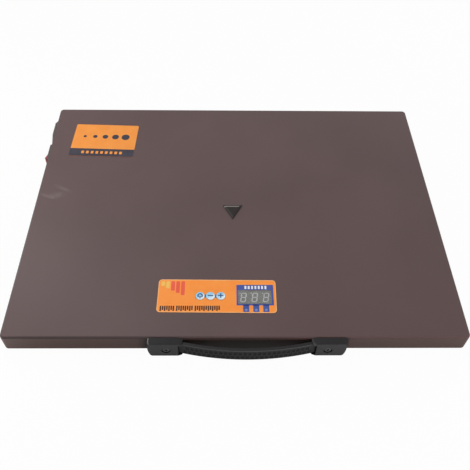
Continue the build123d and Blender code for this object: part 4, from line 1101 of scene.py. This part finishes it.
def fit_strap(finishes):
    """Grip and core, each as two halves."""
    for model, node, slot in (
        (model_grip, "handle_grip", "grip_plastic"),
        (model_core, "handle_core", "spring_steel"),
    ):
        right = model()
        left = mirror_half(right, node + "_left")
        hang_half(right, node, finishes[slot])
        hang_half(left, node, finishes[slot])


# End caps: rounded at the closed end, with side walls that run back at the mouth

def round_end(cap, side, low, high):
    """In edit mode, rounds the closed end of a cap between its upper and lower edges."""
    end_x = high.x if side > 0 else low.x
    for i in range(1, CAP_END_CUTS):
        cut_z = low.z + (high.z - low.z) * i / CAP_END_CUTS
        bpy.ops.mesh.select_all(action="SELECT")
        bpy.ops.mesh.bisect(plane_co=(end_x, 0, cut_z), plane_no=(0, 0, 1))
    mesh = bmesh.from_edit_mesh(cap.data)
    for vert in mesh.verts:
        if abs(vert.co.x - end_x) < CAP_END_ZONE * MM:
            height = (vert.co.z - low.z) / (high.z - low.z)
            out = CAP_END_BULGE * (1 - abs(2 * height - 1)**3) - CAP_END_DRAW * (1 - height)**4
            vert.co.x += side * out * MM
    bmesh.update_edit_mesh(cap.data)


def fit_cap(node, side, finish):
    """A copy of an end cap with a rounded end, and slanted walls with a cut corner at the mouth."""
    low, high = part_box(node)
    mouth_x = low.x if side > 0 else high.x
    cap = copy_node(node, node + "_moulding")
    for (along, out, up), (turn_along, turn_out, turn_up) in CAP_MOUTH_CUTS:
        bpy.ops.mesh.select_all(action="SELECT")
        bpy.ops.mesh.bisect(
            plane_co=(mouth_x + side * along * MM, high.y - out * MM, low.z + up * MM),
            plane_no=(side * turn_along, -turn_out, turn_up),
            clear_outer=True,
            use_fill=True,
        )
    round_end(cap, side, low, high)
    close_edit()
    bpy.ops.object.shade_smooth_by_angle(angle=SMOOTH_ANGLE)
    hand_over(cap, finish, "casing")
    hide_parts(node)


# Prints on the control overlay, a painted highlight along its edge, and the digits of its display

def fit_digits(node, name, finish):
    """A copy of a display piece whose digits are drawn in, each about its own middle."""
    low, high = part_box("display_segments")
    piece = copy_node(node, name)
    mesh = bmesh.from_edit_mesh(piece.data)
    for i in range(DIGIT_COUNT):
        middle_x = (window_x + (i - (DIGIT_COUNT - 1) / 2) * DIGIT_PITCH) * MM
        for vert in mesh.verts:
            beside = abs(vert.co.x - middle_x) < DIGIT_PITCH / 2 * MM
            vert.select_set(beside and low.y - INK * MM < vert.co.y < high.y + INK * MM)
        mesh.select_flush_mode()
        bmesh.update_edit_mesh(piece.data)
        middle = (middle_x, (low.y + high.y) / 2, high.z)
        bpy.ops.transform.resize(value=(DIGIT_SHARE, DIGIT_SHARE, 1), center_override=middle)
    close_edit()
    bpy.ops.object.shade_flat()
    hand_over(piece, finish, "casing")
    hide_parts(node)


def lay_print(name, pieces, ink):
    """Joins the plates of a print and fixes it on the overlay."""
    hand_over(join(name, pieces), ink, "casing")


def print_display_frame(ink):
    """Blue surround of the display: header, foot, two sides and three lamp tabs."""
    full = 2 * window_half + FRAME_MARGIN + FRAME_MARGIN_RIGHT
    frame_x = window_x + (FRAME_MARGIN_RIGHT - FRAME_MARGIN) / 2
    length = window_far - window_near
    middle = (window_far + window_near) / 2
    header_place = (frame_x, window_far + HEADER_DEPTH / 2, overlay_top)
    foot_place = (frame_x, window_near - FRAME_FOOT / 2, overlay_top)
    surround = [
        plate("header", (full, HEADER_DEPTH), header_place, HEADER_CORNER),
        plate("foot", (full, FRAME_FOOT), foot_place),
    ]
    for side, margin in ((-1, FRAME_MARGIN), (1, FRAME_MARGIN_RIGHT)):
        x = window_x + side * (window_half + (margin + FRAME_GAP) / 2)
        surround.append(plate("side", (margin - FRAME_GAP, length), (x, middle, overlay_top)))
    tab = plate("tab", TAB_SIZE, (lamp_x + TABS_ASIDE, lamp_y, overlay_top), TAB_CORNER)
    surround += row_of(tab, (-TAB_PITCH, TAB_PITCH))
    lay_print("display_surround_print", surround, ink)


def print_light_marks(ink, spot_ink):
    """A row of white bars in the header and a pale spot on each tab."""
    top = overlay_top + INK
    header_y = window_far + HEADER_DEPTH / 2
    first_x = window_x + MARKS_ASIDE - MARK_PITCH * (HEADER_MARKS - 1) / 2
    first = plate("mark", MARK_SIZE, (first_x, header_y, top), MARK_CORNER)
    marks = row_of(first, [MARK_PITCH * i for i in range(1, HEADER_MARKS)])
    lay_print("overlay_light_print", marks, ink)
    spot = disc("spot", SPOT_RADIUS, (lamp_x + TABS_ASIDE, lamp_y - SPOT_DROP, top))
    lay_print("lamp_spot_print", row_of(spot, (-TAB_PITCH, TAB_PITCH)), spot_ink)


def print_heat_bars(warm, hot):
    """Rising bars from yellow to red, standing for heat."""
    warm_bars, hot_bars = [], []
    for i in range(HEAT_BARS):
        length = HEAT_BAR_LOW + i * HEAT_BAR_RISE
        x = overlay_x + HEAT_OFFSET[0] + (i - (HEAT_BARS - 1) / 2) * HEAT_PITCH
        place = (x, overlay_y + HEAT_OFFSET[1] - length / 2, overlay_top)
        bar = plate("heat_bar", (HEAT_BAR_WIDTH, length), place, HEAT_BAR_CORNER)
        (warm_bars if i < HEAT_BARS // 2 else hot_bars).append(bar)
    lay_print("warm_bars_print", warm_bars, warm)
    lay_print("hot_bars_print", hot_bars, hot)


def print_scale(ink):
    """Dark scale of long and short ticks in three groups along the near edge."""
    places = {TICK_LONG: [], TICK_SHORT: []}
    x = overlay_x + SCALE_OFFSET[0]
    for count in SCALE_GROUPS:
        for i in range(count):
            places[TICK_SHORT if i % 2 else TICK_LONG].append(x)
            x += SCALE_PITCH
        x += SCALE_GROUP_GAP
    ticks = []
    for length, (first_x, *others) in places.items():
        y = overlay_y + SCALE_OFFSET[1] - length / 2
        first = plate("tick", (TICK_WIDTH, length), (first_x, y, overlay_top))
        ticks += row_of(first, [other_x - first_x for other_x in others])
    lay_print("scale_print", ticks, ink)


def lay_overlay_edge_highlight(ink):
    """Painted highlight along the cut edge of the overlay, laid as a pale line of ink."""
    rim = flat_face("overlay_edge_highlight", OVERLAY_SIZE, (0, 0, overlay_top))
    edit(rim, "VERT")
    round_corners(OVERLAY_CORNER)
    bpy.ops.mesh.select_mode(type="FACE")
    bpy.ops.mesh.select_all(action="SELECT")
    bpy.ops.mesh.inset(thickness=OVERLAY_HIGHLIGHT_WIDTH * MM)
    bpy.ops.mesh.delete(type="FACE")
    bpy.ops.mesh.select_all(action="SELECT")
    push_out(0, 0, INK)
    close_edit()
    rim.rotation_euler = (0, 0, OVERLAY_TURN)
    rim.location = (overlay_x * MM, overlay_y * MM, 0)
    settle(rim)
    hand_over(rim, ink, "casing")


# Prints on the corner label

def label_band():
    """Dark band over the near end of a label at the origin, with the label's own corners."""
    band = plate("band", LABEL_SIZE, (0, 0, label_top), LABEL_CORNER)
    edit(band)
    far = (BAND_DEPTH - LABEL_SIZE[1] / 2) * MM
    bpy.ops.mesh.bisect(plane_co=(0, far, 0), plane_no=(0, 1, 0), clear_outer=True, use_fill=True)
    close_edit()
    return band


def lay_label_print(name, pieces, ink):
    """Joins the plates of a print, turns and moves it from the origin to the label, and fixes it."""
    print_piece = join(name, pieces)
    print_piece.rotation_euler = (0, 0, LABEL_TURN)
    print_piece.location = ((label_low.x + label_high.x) / 2, (label_low.y + label_high.y) / 2, 0)
    settle(print_piece)
    hand_over(print_piece, ink, "casing")


def print_label(dark, light):
    """Dark band along the near edge, with light bars, and dots that grow above it."""
    dots = [label_band()]
    for i in range(DOT_COUNT):
        radius = DOT_SMALLEST + i * DOT_GROWTH
        place = ((i - (DOT_COUNT - 1) / 2) * DOT_PITCH, BAND_DEPTH / 2, label_top)
        dots.append(plate("dot", (2 * radius, 2 * radius), place, radius - ROUND_SPARE))
    lay_label_print("label_dark_print", dots, dark)
    first_x = -BAND_BAR_PITCH * (BAND_BARS - 1) / 2
    place = (first_x, (BAND_DEPTH - LABEL_SIZE[1]) / 2, label_top + INK)
    first = plate("bar", BAND_BAR_SIZE, place, BAND_BAR_CORNER)
    bars = row_of(first, [BAND_BAR_PITCH * i for i in range(1, BAND_BARS)])
    lay_label_print("label_light_print", bars, light)


# Signs on the keys

def above_key(key):
    """A place above the middle of a key, in millimetres."""
    low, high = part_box("button_" + key)
    return (low.x + high.x) / 2 / MM, (low.y + high.y) / 2 / MM, high.z / MM + SIGN_LIFT


def fit_sign(parts, key, ink):
    """Lays flat sign parts onto a key's dome."""
    sign = join("sign_" + key, parts)
    edit(sign)
    bpy.ops.mesh.subdivide(number_cuts=SIGN_CUTS)
    bpy.ops.object.mode_set(mode="OBJECT")
    wrap = sign.modifiers.new("wrap", "SHRINKWRAP")
    wrap.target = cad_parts["button_" + key]
    wrap.wrap_method = "PROJECT"
    wrap.use_project_z = True
    wrap.use_negative_direction = True
    wrap.use_positive_direction = False
    wrap.offset = SIGN_GAP * MM
    skin = sign.modifiers.new("ink", "SOLIDIFY")
    skin.thickness = SIGN_INK * MM
    skin.offset = 1.0
    bpy.context.view_layer.objects.active = sign
    bpy.ops.object.modifier_apply(modifier=wrap.name)
    bpy.ops.object.modifier_apply(modifier=skin.name)
    edit(sign)
    close_edit()
    hand_over(sign, ink, "key_" + key)


def power_ring(place):
    """Flat ring with an opening towards the handle, to be laid on a key; its middle in millimetres."""
    ring = start_piece(
        bpy.ops.mesh.primitive_circle_add,
        "ring",
        vertices=POWER_RING_SIDES,
        radius=POWER_RING_RADIUS * MM,
        location=Vector(place) * MM,
    )
    settle(ring)
    edit(ring, "VERT")
    mesh = bmesh.from_edit_mesh(ring.data)
    for vert in mesh.verts:
        aside = atan2(abs(vert.co.x - place[0] * MM), place[1] * MM - vert.co.y)
        vert.select_set(aside < POWER_RING_GAP)
    bmesh.update_edit_mesh(ring.data)
    bpy.ops.mesh.delete(type="VERT")
    bpy.ops.mesh.select_all(action="SELECT")
    bpy.ops.mesh.extrude_region()
    share = 1 - POWER_RING_WIDTH / POWER_RING_RADIUS
    bpy.ops.transform.resize(value=(share, share, 1), center_override=Vector(place) * MM)
    bpy.ops.object.mode_set(mode="OBJECT")
    return ring


def print_key_gaps(ink):
    """Short dark bars on the film between neighbouring keys."""
    bars = []
    for first, second in zip(KEYS, KEYS[1:]):
        first_x, first_y, _ = above_key(first)
        second_x, second_y, _ = above_key(second)
        place = ((first_x + second_x) / 2, (first_y + second_y) / 2, overlay_top)
        bars.append(plate("gap_bar", KEY_GAP_BAR, place))
    lay_print("key_gap_print", bars, ink)


def print_key_signs(ink):
    """Power ring, minus and plus, read from the far side like the rest of the overlay."""
    x, y, z = above_key("power")
    bar = flat_face("bar", POWER_BAR, (x, y - POWER_BAR_ASIDE, z))
    fit_sign([power_ring((x, y, z)), bar], "power", ink)
    fit_sign([flat_face("bar", SIGN_BAR, above_key("minus"))], "minus", ink)
    x, y, z = above_key("plus")
    reach = (SIGN_BAR[1] + PLUS_ARM) / 2
    arm = flat_face("arm", (SIGN_BAR[1], PLUS_ARM), (x, y - reach, z))
    arms = [arm, copy_piece(arm, "arm", (0, 2 * reach, 0))]
    fit_sign([flat_face("bar", SIGN_BAR, (x, y, z))] + arms, "plus", ink)


aim_camera()
set_world()
lay_floor()
for lamp in LAMPS:
    add_lamp(*lamp)
bpy.context.scene.view_settings.view_transform = "Standard"

finishes = make_finishes()
dress_nodes(finishes)
fit_strap(finishes)
fit_cap("handle_cap_left", -1, finishes["cap_plastic"])
fit_cap("handle_cap_right", 1, finishes["cap_plastic"])

inks = {name: printed_film(name, *values) for name, values in INKS.items()}
fit_digits("display_segments", "display_digits", finishes["segment_milk"])
fit_digits("display_module", "display_body", finishes["display_black"])
print_display_frame(inks["blue_ink"])
print_light_marks(inks["white_ink"], inks["spot_ink"])
print_heat_bars(inks["warm_ink"], inks["hot_ink"])
print_scale(inks["dark_ink"])
lay_overlay_edge_highlight(inks["edge_highlight_ink"])
print_label(inks["band_ink"], finishes["label_film"])
print_key_gaps(inks["sign_ink"])
print_key_signs(inks["sign_ink"])
